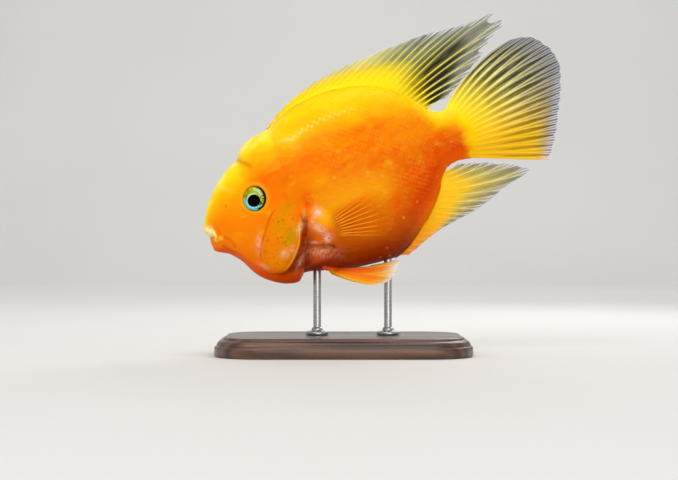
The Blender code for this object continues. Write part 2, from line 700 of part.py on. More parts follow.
def make_rod(label, parts):
    """A turned rod with a round foot, which stands in its socket in the belly."""
    x, z = rod_top(label)
    bottom, top = BASE_HEIGHT + GAP, z + SOCKET_DEPTH - GAP
    shoulder = bottom + FOOT_HEIGHT
    profile = [
        (0, top), (ROD_RADIUS - ROD_CHAMFER, top), (ROD_RADIUS, top - ROD_CHAMFER),
        (ROD_RADIUS, shoulder + 2 * ROD_CHAMFER), (ROD_RADIUS + 2 * ROD_CHAMFER, shoulder),
        (FOOT_RADIUS - ROD_CHAMFER, shoulder), (FOOT_RADIUS, shoulder - ROD_CHAMFER),
        (FOOT_RADIUS, bottom), (0, bottom),
    ]
    mesh = bpy.data.meshes.new(f"stand_rod_{label}")
    points = [(r * MM, 0, h * MM) for r, h in profile]
    mesh.from_pydata(points, [(k, k + 1) for k in range(len(points) - 1)], [])
    rod = placed(mesh, parts)
    rod.location = (x * MM, 0, 0)
    turn = rod.modifiers.new("turn", "SCREW")
    turn.steps = turn.render_steps = ROD_SIDES
    turn.use_merge_vertices = True
    turn.merge_threshold = 0.00001
    turn.use_smooth_shade = True
    return dress(rod)


def make_base(parts):
    """A wooden plinth with round corners and softened edges."""
    bpy.ops.mesh.primitive_cube_add(size=1, location=(BASE_X * MM, 0, BASE_HEIGHT / 2 * MM))
    base = bpy.context.object
    base.name = "stand_base"
    base.scale = (BASE_LENGTH * MM, BASE_WIDTH * MM, BASE_HEIGHT * MM)
    bpy.ops.object.transform_apply(location=False, rotation=False, scale=True)
    block = bmesh.new()
    block.from_mesh(base.data)
    upright = [e for e in block.edges if abs(e.verts[0].co.z - e.verts[1].co.z) > MM]
    bmesh.ops.bevel(
        block,
        geom=upright,
        offset=BASE_CORNER * MM,
        segments=CORNER_SEGMENTS,
        profile=0.5,
        affect="EDGES",
    )
    block.to_mesh(base.data)
    block.free()
    soften = base.modifiers.new("soften", "BEVEL")
    soften.width = BASE_EDGE * MM
    soften.segments = 2
    soften.limit_method = "ANGLE"
    soften.angle_limit = math.radians(40)
    base.data.shade_smooth()
    base.data.set_sharp_from_angle(angle=math.radians(30))
    move_to(base, parts)
    return dress(base)


def main():
    clear_scene()
    parts = new_collection("blood_parrot_cichlid")
    pose = bpy.data.objects.new("swimming_pose", None)
    parts.objects.link(pose)
    x, z = displayed(0, 0)
    pose.location = (x * MM, 0, z * MM)
    pose.rotation_euler = (0, -PITCH, 0)

    make_flesh(parts, pose)
    make_head_pieces(parts, pose)
    make_dorsal_fin(parts, pose)
    make_anal_fin(parts, pose)
    make_tail_fin(parts, pose)
    for label in SIDES_OF_FISH:
        make_pectoral_fin(label, parts, pose)
        make_pelvic_fin(label, parts, pose)
    for label in ROD_STATIONS:
        make_rod(label, parts)
    make_base(parts)


main()
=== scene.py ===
import math

import bmesh
import bpy
import numpy as np
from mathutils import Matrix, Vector


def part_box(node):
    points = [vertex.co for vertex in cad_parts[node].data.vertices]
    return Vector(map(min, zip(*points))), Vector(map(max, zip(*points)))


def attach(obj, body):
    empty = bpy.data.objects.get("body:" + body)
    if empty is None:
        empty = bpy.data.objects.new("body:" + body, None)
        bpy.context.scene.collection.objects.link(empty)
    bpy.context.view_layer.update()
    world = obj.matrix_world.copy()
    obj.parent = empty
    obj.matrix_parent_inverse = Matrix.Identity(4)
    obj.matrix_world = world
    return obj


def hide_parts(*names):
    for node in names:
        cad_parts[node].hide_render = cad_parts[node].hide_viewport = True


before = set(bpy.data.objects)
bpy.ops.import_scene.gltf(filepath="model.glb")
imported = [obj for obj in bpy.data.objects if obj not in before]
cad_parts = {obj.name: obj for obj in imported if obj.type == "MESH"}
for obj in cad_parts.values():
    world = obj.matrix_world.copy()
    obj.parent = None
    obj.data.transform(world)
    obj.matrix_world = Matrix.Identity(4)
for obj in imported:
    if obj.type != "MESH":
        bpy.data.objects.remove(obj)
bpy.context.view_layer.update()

# The fish has a frame of its own in millimetres: s runs back from the upper lip,
# y to its right and h up. toDisplay tips it head down and lifts it over the stand.
mm = 0.001

fishBody = {
    "length": 142.4,
    "tilt": math.radians(20),
    "back": [
        (-0.4, -1.0), (0.6, 1.9), (4.7, 9.1), (10.6, 16.3), (17.4, 21.9), (24.0, 25.8),
        (27.4, 27.3), (29.2, 29.6), (32.7, 33.1), (39.8, 35.8), (47.3, 36.8), (56.6, 40.6),
        (68.8, 43.9), (81.4, 45.0), (93.6, 43.6), (105.6, 40.0), (115.4, 34.6), (123.0, 27.4),
        (127.2, 22.0), (130.7, 17.8), (135.6, 15.2), (142.4, 15.4),
    ],
    "belly": [
        (-0.4, -9.9), (0.3, -11.8), (1.2, -13.2), (3.6, -14.8), (8.0, -17.3), (9.8, -19.4),
        (12.4, -22.6), (16.7, -31.0), (20.4, -35.4), (24.9, -38.9), (30.4, -41.8), (35.5, -43.0),
        (40.9, -41.8), (51.2, -42.4), (69.0, -46.3), (88.3, -48.0), (96.0, -45.3),
        (104.8, -39.3), (113.7, -32.2), (120.4, -24.6), (125.7, -16.4), (130.4, -12.9),
        (136.3, -12.0), (142.4, -13.4),
    ],
    "halfWidth": [
        (-0.4, 4.2), (4.0, 6.9), (8.0, 8.8), (14.0, 11.8), (20.0, 14.4), (30.0, 18.0),
        (42.0, 21.4), (55.0, 23.4), (70.0, 24.0), (85.0, 22.6), (100.0, 18.8), (112.0, 14.4),
        (122.0, 10.2), (130.0, 7.2), (136.0, 5.5), (142.4, 4.0),
    ],
    "widestLevel": [
        (-0.4, -5.6), (8.0, -6.6), (20.0, -6.2), (40.0, -8.0), (60.0, -8.0), (80.0, -5.0),
        (100.0, -1.0), (120.0, 0.8), (142.4, 1.0),
    ],
    "upperRoundness": [(-0.4, 2.0), (20.0, 2.3), (40.0, 2.2), (60.0, 1.9), (142.4, 1.9)],
    "lowerRoundness": [
        (-0.4, 2.0), (15.0, 1.9), (40.0, 2.2), (80.0, 2.5), (110.0, 2.1), (142.4, 2.0),
    ],
    "blur": 0.7,  # softens the bends of the outline
    "cornerSetback": 7.4,
    "setbackEnd": 26.0,
}
eyeball = {"at": (30.3, 4.8), "radius": 7.0, "depth": 4.5, "proud": 2.3}


def lineThrough(points, blur=0.0):
    # a line that never overshoots its points, as a function
    xs, ys = np.array(points, float).T
    step = np.diff(xs)
    rise = np.diff(ys) / step
    slope = np.zeros(len(xs))
    slope[0], slope[-1] = rise[0], rise[-1]
    for i in range(1, len(xs) - 1):
        if rise[i - 1] * rise[i] > 0:
            before = 2 * step[i] + step[i - 1]
            after = step[i] + 2 * step[i - 1]
            slope[i] = (before + after) / (before / rise[i - 1] + after / rise[i])

    def exact(x):
        inside = np.clip(x, xs[0], xs[-1])
        i = np.clip(np.searchsorted(xs, inside, side="right") - 1, 0, len(xs) - 2)
        t = (inside - xs[i]) / step[i]
        level = ys[i] * (1 + 2 * t) * (1 - t) ** 2 + ys[i + 1] * t * t * (3 - 2 * t)
        lean = slope[i] * t * (1 - t) ** 2 - slope[i + 1] * t * t * (1 - t)
        past = np.minimum(x - xs[0], 0) * slope[0] + np.maximum(x - xs[-1], 0) * slope[-1]
        return level + lean * step[i] + past

    if not blur:
        return exact
    fine = np.arange(xs[0] - 8 * blur, xs[-1] + 8 * blur, 0.1)
    kernel = np.exp(-0.5 * (np.arange(-4 * blur, 4 * blur + 0.05, 0.1) / blur) ** 2)
    table = np.convolve(exact(fine), kernel / kernel.sum(), "same")
    return lambda x: np.interp(np.clip(x, xs[0], xs[-1]), fine, table)


back = lineThrough(fishBody["back"], fishBody["blur"])
belly = lineThrough(fishBody["belly"], fishBody["blur"])
halfWidth = lineThrough(fishBody["halfWidth"], 1.5)
widestLevel = lineThrough(fishBody["widestLevel"], 1.5)
upperRoundness = lineThrough(fishBody["upperRoundness"], 1.5)
lowerRoundness = lineThrough(fishBody["lowerRoundness"], 1.5)


def smooth(low, high, x):
    t = np.clip((x - low) / (high - low), 0, 1)
    return t * t * (3 - 2 * t)


def hump(x, width):
    return np.exp(-((x / width) ** 2))


def girth(s, angle):
    # the body's surface at station s, at this angle round it from the back
    level = widestLevel(s)
    rise = np.abs(np.cos(angle))
    up = (back(s) - level) * rise ** (2 / upperRoundness(s))
    down = (level - belly(s)) * rise ** (2 / lowerRoundness(s))
    h = level + np.where(np.cos(angle) > 0, up, -down)
    return np.stack(np.broadcast_arrays(s, halfWidth(s) * np.sin(angle), h), axis=-1)


def flank(s, h):
    level = widestLevel(s)
    up = np.clip((h - level) / (back(s) - level), 0, 1) ** upperRoundness(s)
    down = np.clip((level - h) / (level - belly(s)), 0, 1) ** lowerRoundness(s)
    return halfWidth(s) * np.sqrt(np.clip(1 - up - down, 0, 1))


def onFlank(s, h, side, out=0.0):
    # points on one flank, moved out along the surface's normal, and that normal
    s, h = np.broadcast_arrays(np.asarray(s, float), np.asarray(h, float))
    leanS = (flank(s + 0.2, h) - flank(s - 0.2, h)) / 0.4
    leanH = (flank(s, h + 0.2) - flank(s, h - 0.2)) / 0.4
    normal = np.stack([-leanS, np.full(s.shape, float(side)), -leanH], axis=-1)
    normal /= np.linalg.norm(normal, axis=-1, keepdims=True)
    spot = np.stack([s, side * flank(s, h), h], axis=-1)
    return spot + normal * np.asarray(out)[..., None], normal


def underBelly(s, aside):
    share = 1 - np.minimum(np.abs(aside) / halfWidth(s), 1) ** 2
    level = widestLevel(s)
    return level - (level - belly(s)) * share ** (1 / lowerRoundness(s))


def spread(points, count):
    # evenly spaced points along the smooth line through these ones
    points = np.array(points, float)
    knots = np.concatenate([[0], np.cumsum(np.linalg.norm(np.diff(points, axis=0), axis=1))])
    lines = [lineThrough(np.stack([knots, axis], axis=1)) for axis in points.T]
    fine = np.linspace(0, knots[-1], 400)
    line = np.stack([axis(fine) for axis in lines], axis=1)
    run = np.concatenate([[0], np.cumsum(np.linalg.norm(np.diff(line, axis=0), axis=1))])
    places = np.interp(np.linspace(0, run[-1], count), run, fine)
    return np.stack([axis(places) for axis in lines], axis=1)


# The frame says where the left eye is, and so where the upper lip is
eyeRim, eyeNormal = onFlank(*eyeball["at"], -1)
eyeMiddle = eyeRim + eyeNormal * (eyeball["proud"] - eyeball["depth"])
cosTilt, sinTilt = math.cos(fishBody["tilt"]), math.sin(fishBody["tilt"])
eyeLow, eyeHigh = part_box("eye_left")
lipX = (eyeLow[0] + eyeHigh[0]) / 2 / mm - (eyeMiddle[0] * cosTilt - eyeMiddle[2] * sinTilt)
lipZ = (eyeLow[2] + eyeHigh[2]) / 2 / mm - (eyeMiddle[0] * sinTilt + eyeMiddle[2] * cosTilt)
print("fish placed, upper lip at", round(float(lipX), 2), round(float(lipZ), 2))


def toDisplay(points):
    s, y, h = np.moveaxis(np.asarray(points, float), -1, 0)
    x = lipX + s * cosTilt - h * sinTilt
    z = lipZ + s * sinTilt + h * cosTilt
    return np.stack([x, y, z], axis=-1) * mm


def fromDisplay(places):
    x, y, z = np.moveaxis(np.asarray(places, float) / mm, -1, 0)
    x, z = x - lipX, z - lipZ
    return np.stack([x * cosTilt + z * sinTilt, y, z * cosTilt - x * sinTilt], axis=-1)


# Marks on the body, as (s, h): the gill plate, the opening behind it, folds, pale spots and painted
# highlights
gill = {
    "edge": [
        (44.5, -2.6), (38.4, -4.4), (30.0, -13.2), (23.6, -22.8), (22.2, -29.4), (25.0, -34.0),
        (31.0, -35.4), (36.4, -32.8), (41.0, -28.5), (44.8, -23.6), (47.0, -18.4), (49.2, -12.4),
        (49.2, -5.6),
    ],
    "bulge": 1.15,
    "meltsIntoCheek": (-3.0, -13.0),  # levels between which the plate's top fades out
    "opening": [  # as (h, s), from the belly up
        (-48.0, 38.0), (-42.0, 40.0), (-38.1, 41.6), (-32.0, 44.1), (-28.0, 46.0), (-23.1, 48.7),
        (-18.5, 51.1), (-14.0, 52.4), (-9.0, 53.0), (-5.0, 53.2), (60.0, 53.2),
    ],
    "openingAt": 50.0,  # the ring of the skin that follows the opening
}
openingLine = lineThrough(gill["opening"], 1.2)
gillOutline = spread(gill["edge"] + gill["edge"][:1], 97)[:-1]
folds = [  # line, depth, width
    ([(9.0, -8.2), (11.2, -11.4), (12.2, -14.6)], 0.3, 0.8),
    ([(6.6, -12.4), (8.4, -14.8), (10.6, -17.4)], 0.3, 0.8),
    ([(27.9, 27.6), (30.6, 24.4), (33.8, 21.4)], 0.24, 1.5),
    ([(48.0, -27.6), (53.6, -29.9), (59.9, -32.2)], 0.9, 1.1),
    ([(54.6, -1.6), (55.4, -5.4), (54.6, -9.0)], 0.25, 1.4),
]
lipLumps = [  # s, h, reach, height
    (4.3, -8.0, 1.5, 0.55),
    (6.8, -8.0, 1.35, 0.45),
    (3.2, -4.2, 1.6, 0.3),
    (0.8, -1.8, 1.4, 0.2),
]
paleSpots = [  # s, h, reach along, reach up, how far it dips tailwards in degrees, strength
    (24.6, -17.4, 1.5, 4.6, 24, 0.6),
    (22.6, -29.6, 3.4, 1.3, 49, 0.5),
    (35.0, -26.8, 2.2, 2.0, 0, 0.6),
    (39.8, -26.2, 1.3, 2.0, 20, 0.5),
    (47.0, -17.2, 1.2, 2.8, 44, 0.85),
    (50.9, -13.4, 0.9, 3.2, 20, 0.4),
    (40.4, -34.6, 1.3, 4.4, 44, 0.75),
    (58.3, -12.6, 2.0, 2.4, -16, 1.0),
    (54.9, -15.4, 2.4, 1.0, -38, 0.9),
    (56.2, -21.2, 5.2, 1.7, 52, 0.85),
    (58.3, -26.6, 1.8, 2.3, 20, 1.0),
    (51.8, -26.8, 3.0, 0.8, 20, 0.6),
    (54.2, -33.6, 7.4, 2.9, 20, 0.85),
    (61.0, -37.6, 4.0, 1.6, 50, 0.5),
    # from here on the spots lie high on the body and are painted highlights: along the row of
    # scales on the upper back, on the forehead and on the nape
    (47.4, 33.0, 4.6, 0.7, 10, 0.3),
    (57.0, 27.2, 3.0, 0.9, 12, 0.75),
    (64.4, 28.6, 2.2, 0.9, -12, 0.55),
    (52.4, 27.0, 2.4, 0.7, 10, 0.35),
    (59.3, 21.0, 1.4, 1.1, 0, 0.4),
    (14.4, 17.4, 6.0, 1.0, 38, 0.3),
    (32.0, 31.2, 4.0, 1.0, 38, 0.4),
]
warmSpots = [  # deeper orange, in the same way
    (41.0, 12.4, 7.5, 3.6, -12, 0.78),
    (55.2, -5.6, 3.2, 5.4, 0, 1.0),
    (40.4, 2.0, 5.0, 2.6, 20, 0.35),
    (129.6, 2.2, 6.4, 2.4, -22, 1.0),
    (124.0, -7.2, 9.0, 2.8, -6, 0.85),
    (108.5, -12.0, 8.0, 4.4, -30, 0.9),
    (97.5, -22.0, 9.0, 4.6, -58, 0.7),
    (100.0, 1.6, 14.0, 4.6, -8, 0.7),
    (93.0, 19.4, 19.0, 2.4, 3, 0.5),
    (20.5, -31.8, 5.6, 1.6, 49, 0.8),
    (48.0, -11.8, 2.0, 4.2, 10, 0.8),
    # this last spot is deeper orange along the fold between head and nape hump: painted shade in
    # that crease
    (31.2, 24.2, 4.8, 1.1, 46, 0.4),
]
oliveSpots = [
    (41.2, -19.2, 3.6, 5.4, 24, 1.0),
    (44.4, -6.2, 3.8, 2.8, 20, 0.75),
    (38.0, -12.0, 2.4, 4.0, 24, 0.4),
]
brightSpots = [  # lighter, more yellow flesh
    (82.0, -12.0, 17.0, 6.5, 8, 0.9),
    (66.0, 1.0, 6.0, 5.0, 20, 0.75),
    (57.6, 26.8, 8.0, 3.6, -10, 0.7),
    (104.0, 26.5, 12.0, 4.0, 14, 0.35),
    (31.0, -31.0, 5.0, 3.0, 30, 0.5),
    (14.0, -12.0, 4.5, 3.0, 30, 0.4),
]


def outlineDepth(s, h, outline):
    # distance inside a closed outline, negative outside it
    shape = np.shape(s)
    spots = np.stack([np.ravel(s), np.ravel(h)], axis=1)
    nearest = np.full(len(spots), 1e9)
    inside = np.zeros(len(spots), bool)
    for a, b in zip(outline, np.roll(outline, -1, axis=0)):
        way = b - a
        t = np.clip(((spots - a) @ way) / (way @ way), 0, 1)
        nearest = np.minimum(nearest, np.linalg.norm(spots - a - t[:, None] * way, axis=1))
        crosses = (a[1] > spots[:, 1]) != (b[1] > spots[:, 1])
        slant = way[0] * (spots[:, 1] - a[1]) / (way[1] if way[1] else 1e-9) + a[0]
        inside ^= crosses & (spots[:, 0] < slant)
    return np.where(inside, nearest, -nearest).reshape(shape)


def lineDistance(s, h, line):
    nearest = np.full(np.shape(s), 1e9)
    for a, b in zip(line[:-1], line[1:]):
        way = np.subtract(b, a)
        t = np.clip(((s - a[0]) * way[0] + (h - a[1]) * way[1]) / (way @ way), 0, 1)
        nearest = np.minimum(nearest, np.hypot(s - a[0] - t * way[0], h - a[1] - t * way[1]))
    return nearest


def spotShare(s, h, spot):
    turn = math.radians(spot[4])
    along = (s - spot[0]) * math.cos(turn) - (h - spot[1]) * math.sin(turn)
    up = (s - spot[0]) * math.sin(turn) + (h - spot[1]) * math.cos(turn)
    return spot[5] * np.exp(-((along / spot[2]) ** 2) - (up / spot[3]) ** 2)


def behindGill(s, h):
    # distance behind the gill opening and how open it is there
    reach = smooth(-5.0, -10.0, h) * (1 - 0.6 * smooth(-37.0, -42.5, h))
    return s - openingLine(h), reach


def plateFree(h):
    # how far the plate stands clear of the cheek
    return smooth(*gill["meltsIntoCheek"], h)


def plateRise(s, h):
    return smooth(34.5, 46.0, 0.788 * s - 0.616 * h)


def crease(s, h):
    # share of the fine line in front of the plate, which runs out at both ends
    return smooth(44.0, 38.0, s + 0.35 * h) * smooth(-3.2, -6.0, h) * smooth(-28.0, -22.0, h)


def ribPhase(s, h):
    # fine uneven ribs that stand nearly upright once the fish is tipped
    return (
        2 * np.pi * (s * cosTilt - h * sinTilt) / 1.75 + 1.6 * np.sin(0.9 * h + 0.5 * s)
        + 1.1 * np.sin(1.7 * s)
    )


def relief(s, y, h):
    # how far the skin stands out from the plain body, in millimetres
    depth = outlineDepth(s, h, gillOutline)
    # the plate stands out more and more towards its rear edge
    rise = plateFree(h) * plateRise(s, h)
    out = (
        gill["bulge"] * rise * smooth(-0.35, 0.3, depth)
        * (0.62 + 0.38 * (1 - np.exp(-np.maximum(depth, 0) / 2.0)))
    )
    out -= 0.42 * crease(s, h) * hump(depth + 0.2, 0.42) + 0.2 * rise * hump(depth + 0.5, 0.5)
    behind, openness = behindGill(s, h)
    flap = np.where(behind < 0, 0.75 * np.exp(behind / 2.6), 0)
    pit = np.where(behind >= 0, -0.95 * np.exp(-behind / 3.2), 0)
    out += openness * (flap + pit)
    # the breast lies higher than the gill cover in front of it
    out -= 1.9 * smooth(-2.8, 0.8, behind) * smooth(17.0, 3.0, behind) * smooth(-35.5, -40.5, h)
    for line, deep, wide in folds:
        out -= deep * hump(lineDistance(s, h, line), wide)
    ribs = spotShare(s, h, (53.6, -34.0, 6.4, 2.6, 20, 1.0))
    out += 0.2 * ribs * np.sin(ribPhase(s, h))
    shoulder = np.exp(-(((s - 58.6) / 4.2) ** 2) - ((h + 20.5) / 7.0) ** 2)
    out += 1.3 * shoulder
    crest = smooth(46.0, 52.0, s) * smooth(134.0, 126.0, s)
    out += 0.5 * crest * hump(back(s) - h, 3.0) * hump(y, 4.0)
    keel = smooth(86.0, 92.0, s) * smooth(131.0, 125.0, s)
    out += 0.5 * keel * hump(h - belly(s), 3.0) * hump(y, 4.0)
    return out


def faceRelief(points):
    # the eye's opening and the nostril, which need the distance in space
    s, y, h = np.moveaxis(points, -1, 0)
    spots = np.stack([s, np.abs(y), h], axis=-1)
    middle, normal = onFlank(*eyeball["at"], 1)
    away = spots - middle
    lift = away @ normal
    ring = np.linalg.norm(away - lift[..., None] * normal, axis=-1)
    close = np.abs(lift) < 9
    out = np.where(close, -3.4 * smooth(6.5, 5.2, ring), 0)
    out += np.where(close, 0.5 * hump(ring - 7.25, 0.75) - 0.22 * hump(ring - 9.2, 1.1), 0)
    nostril, _ = onFlank(14.6, 6.2, 1)
    hole = np.linalg.norm(spots - nostril, axis=-1)
    out += 0.28 * hump(hole - 1.35, 0.5) - 1.1 * hump(hole, 0.85)
    return out


def markings(s, y, h):
    # what the materials of skin and scales read at each point
    low, high = belly(s), back(s)
    height = (h - low) / (high - low)
    depth = outlineDepth(s, h, gillOutline)
    behind, openness = behindGill(s, h)
    rise = plateRise(s, h)
    plate = smooth(-1.0, 5.0, depth) * smooth(1.0, -11.0, h)
    # painted shade in the fine crease in front of the plate and in the first three folds
    creaseShade = 0.95 * hump(depth + 0.2, 0.32) * crease(s, h)
    # painted highlight along the raised rear edge of the gill plate
    rim = hump(depth - 0.3, 0.32) * rise * smooth(-13.0, -19.0, h) * smooth(30.0, 36.0, s)
    lip = hump(depth + 0.6, 0.5) * rise * smooth(-8.0, -16.0, h)
    for line, deep, wide in folds[:3]:
        creaseShade = np.maximum(creaseShade, 1.4 * deep * hump(lineDistance(s, h, line), wide))
    # painted shade: behind the gill opening, along the fold under the pectoral fin, just behind the
    # plate's raised rear edge and on the breast
    shade = openness * (smooth(-0.4, 0.3, behind) * smooth(7.5, 1.5, behind))
    shade = shade * smooth(-16.0, -27.0, h)
    shade = np.maximum(shade, 0.9 * hump(lineDistance(s, h, folds[3][0]), 1.4))
    shade = np.maximum(shade, 0.55 * lip)
    breast = 0.85 * smooth(-0.4, 0.5, behind) * smooth(24.0, 8.0, behind) * smooth(-35.8, -38.4, h)
    shade = np.maximum(shade, breast)
    membrane = (
        plateFree(h) * smooth(0.4, -0.4, behind) * smooth(-0.2, -0.9, depth)
        * smooth(43.0, 47.5, 0.788 * s - 0.616 * h)
    )
    membrane = membrane * smooth(-9.0, -16.0, h) * smooth(-39.0, -35.0, h)
    ribs = 0.5 + 0.5 * np.sin(ribPhase(s, h))
    pale, warm, olive, bright = (
        np.max([spotShare(s, h, spot) for spot in spots], axis=0)
        for spots in (paleSpots, warmSpots, oliveSpots, brightSpots)
    )
    comb = smooth(43.0, 46.0, s) * smooth(-28.0, -29.4, h + 0.36 * (s - 50.0))
    pale = pale * (1 - 0.75 * comb * ribs)
    # a painted highlight: a pale line along the ridge of the forehead and nape
    pale = np.maximum(pale, 0.4 * hump(y, 3.2) * smooth(44.0, 30.0, s) * smooth(2.0, 14.0, h))
    shoulder = np.exp(-(((s - 60.4) / 4.2) ** 2) - ((h + 17.6) / 4.6) ** 2)
    fan = np.exp(-(((s - 56.2) / 3.4) ** 2) - ((h + 24.2) / 4.0) ** 2)
    fan = fan * (0.5 + 0.5 * np.sin(2 * np.pi * ((s - 47.0) * 0.53 + (h + 18.0) * 0.85) / 1.5))
    middle, _ = onFlank(*eyeball["at"], 1)
    away = np.linalg.norm(np.stack([s, np.abs(y), h], axis=-1) - middle, axis=-1)
    return {
        "height": height, "station": s / fishBody["length"], "plate": plate, "creaseShade": creaseShade,
        "rim": rim, "shade": shade, "membrane": membrane, "pale": pale, "warm": warm,
        "olive": olive, "bright": bright, "shoulder": shoulder, "fan": fan,
        "lid": hump(away - 7.3, 1.1),
    }


# Helpers for meshes


def addMesh(name, points, faces, sharp=None):
    mesh = bpy.data.meshes.new(name)
    mesh.from_pydata(points.tolist(), [], [tuple(int(i) for i in face) for face in faces])
    shell = bmesh.new()
    shell.from_mesh(mesh)
    bmesh.ops.recalc_face_normals(shell, faces=shell.faces)
    shell.to_mesh(mesh)
    shell.free()
    mesh.shade_smooth()
    if sharp:
        mesh.set_sharp_from_angle(angle=math.radians(sharp))
    piece = bpy.data.objects.new(name, mesh)
    bpy.context.scene.collection.objects.link(piece)
    return piece


def setValues(mesh, name, values):
    layer = mesh.attributes.new(name, "FLOAT", "POINT")
    layer.data.foreach_set("value", np.ascontiguousarray(np.ravel(values), np.float32))


def setMap(mesh, name, places):
    # places holds one (u, v) for each vertex
    layer = mesh.uv_layers.new(name=name)
    corners = np.empty(len(mesh.loops), np.int32)
    mesh.loops.foreach_get("vertex_index", corners)
    layer.data.foreach_set("uv", np.ascontiguousarray(places[corners], np.float32).ravel())


def ringFaces(rings, columns, first=0):
    # quads between rings of points that follow one another from this point on
    return [
        (a, b, b + columns, a + columns)
        for i in range(rings - 1) for k in range(columns)
        for a, b in [(first + i * columns + k, first + i * columns + (k + 1) % columns)]
    ]


def handOver(piece, slot, *nodes):
    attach(piece, "root")
    if nodes:
        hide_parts(*nodes)
    print("made", piece.name, len(piece.data.polygons), "faces")


# Helpers for materials


def paint(red, green, blue):
    # screen values from 0 to 255, as the shader's own
    share = [c / 255 for c in (red, green, blue)]
    return (*[c / 12.92 if c <= 0.04045 else ((c + 0.055) / 1.055) ** 2.4 for c in share], 1.0)


def newFinish(name):
    finish = bpy.data.materials.new(name)
    finish.use_nodes = True
    return finish, finish.node_tree, finish.node_tree.nodes["Principled BSDF"]


class Reading:
    # what a node gives: a sign between two, or between one and a number, makes a Math node
    def __init__(self, socket):
        self.socket = socket
        self.node = socket.node

    def __add__(self, other):
        return maths("ADD", self, other)

    def __radd__(self, other):
        return maths("ADD", other, self)

    def __sub__(self, other):
        return maths("SUBTRACT", self, other)

    def __rsub__(self, other):
        return maths("SUBTRACT", other, self)

    def __mul__(self, other):
        return maths("MULTIPLY", self, other)

    def __rmul__(self, other):
        return maths("MULTIPLY", other, self)

    def __truediv__(self, other):
        return maths("DIVIDE", self, other)

    def __abs__(self):
        return maths("ABSOLUTE", self)


def plug(value, socket):
    if isinstance(value, Reading):
        value = value.socket
    if isinstance(value, bpy.types.NodeSocket):
        socket.id_data.links.new(value, socket)
    else:
        socket.default_value = value


def dial(node, values):
    # sets or links the inputs of a node by their names or numbers
    for name, value in values.items():
        plug(value, node.inputs[name])


def newNode(kind, *values):
    # a node in the tree of the readings among these values, which go to its first inputs
    tree = next(value.node.id_data for value in values if isinstance(value, Reading))
    node = tree.nodes.new(kind)
    for value, socket in zip(values, node.inputs):
        plug(value, socket)
    return node


def maths(operation, *values):
    node = newNode("ShaderNodeMath", *values)
    node.operation = operation
    return Reading(node.outputs[0])


def mixed(share, a, b):
    node = newNode("ShaderNodeMix", share)
    node.data_type = "RGBA"
    dial(node, {6: a, 7: b})
    return Reading(node.outputs[2])


def ramped(value, stops):
    node = newNode("ShaderNodeValToRGB", value)
    spots = node.color_ramp.elements
    for i, (place, colour) in enumerate(stops):
        spot = spots[i] if i < 2 else spots.new(place)
        spot.position = place
        spot.color = colour if len(colour) == 4 else paint(*colour)
    return Reading(node.outputs[0])


def mapped(value, low, high, toLow=0.0, toHigh=1.0):
    node = newNode("ShaderNodeMapRange", value, low, high, toLow, toHigh)
    node.interpolation_type = "SMOOTHSTEP"
    return Reading(node.outputs[0])


def reads(tree, name):
    node = tree.nodes.new("ShaderNodeAttribute")
    node.attribute_name = name
    return Reading(node.outputs["Fac"])


def placed(tree, values, kind="POINT"):
    # object coordinates through a Mapping node with these settings
    place = tree.nodes.new("ShaderNodeTexCoord")
    turn = tree.nodes.new("ShaderNodeMapping")
    turn.vector_type = kind
    dial(turn, {**values, "Vector": place.outputs["Object"]})
    return turn.outputs[0]


def inFishFrame(tree, stretch=(1, 1, 1), lean=0.0):
    # object coordinates turned to run along the fish, or at a lean to it, then stretched
    turn = (0, -fishBody["tilt"] - math.radians(lean), 0)
    return placed(tree, {"Rotation": turn, "Scale": [1 / share for share in stretch]}, "TEXTURE")


def grain(tree, size, detail=3.0, where=None, roughness=0.5):
    # noise whose features are about this many millimetres across, from 0 to 1
    node = tree.nodes.new("ShaderNodeTexNoise")
    dial(node, {"Scale": 1000 / size, "Detail": detail, "Roughness": roughness})
    if where is None:
        where = inFishFrame(tree)
    plug(where, node.inputs["Vector"])
    return Reading(node.outputs["Fac"])


def bumped(shader, height, distance, strength=1.0):
    node = shader.id_data.nodes.new("ShaderNodeBump")
    dial(node, {"Distance": distance * mm, "Strength": strength, "Height": height})
    plug(node.outputs[0], shader.inputs["Normal"])


# Skin

skinLook = {
    "upperColumns": 62,
    "lowerColumns": 74,
    "steps": [
        (0.0, 0.42), (43.0, 0.42), (46.0, 0.26), (54.0, 0.26), (58.0, 0.5), (66.0, 0.85),
        (143.0, 0.85),
    ],
    "warpReach": 14.0,
    "endLength": 10.5,  # the wedge that the tail fin grows out of
    "endRings": 16,
}
mouth = {  # rings from the inside out: upper front, lower front, half width, above, below, setback
    "bottom": (6.8, -6.2),
    "line": -5.3,
    "cornerDrop": 0.9,
    "rings": [
        (5.2, 5.4, 3.0, 0.10, 0.08, 1.0),
        (3.0, 3.1, 4.9, 0.10, 0.08, 1.8),
        (1.2, 1.3, 5.9, 0.16, 0.12, 2.9),
        (-0.3, 0.9, 6.7, 2.2, 1.2, 4.2),
        (-0.9, 0.6, 7.4, 4.6, 3.4, 5.2),
        (0.3, 0.7, 7.3, 6.4, 5.3, 6.4),
    ],
    "between": [3, 6, 7, 7, 7, 7, 3, 2, 3, 4],
    "guides": [0.9, 1.9, 3.2, 4.8, 6.6],
}


def mouthRing(ring, angle):
    upper, lower, width, above, below, setback = ring
    rise, aside = np.cos(angle), np.sin(angle)
    front = lower + (upper - lower) * (1 + rise) / 2
    height = np.where(rise > 0, above, below) * rise
    level = mouth["line"] - mouth["cornerDrop"] * aside**2
    return np.stack([front + setback * aside**2, width * aside, level + height], axis=-1)


def bodyRing(station, angle):
    setback = fishBody["cornerSetback"] * max(0.0, 1 - station / fishBody["setbackEnd"]) ** 1.5
    start = station + setback * np.sin(angle) ** 2
    away = (station - gill["openingAt"]) / skinLook["warpReach"]
    pull = math.exp(-away * away) * float(smooth(12.0, 30.0, station))
    ring = girth(start, angle)
    if pull > 1e-3:
        for _ in range(4):
            ring = girth(start + pull * (openingLine(ring[:, 2]) - gill["openingAt"]), angle)
    return ring


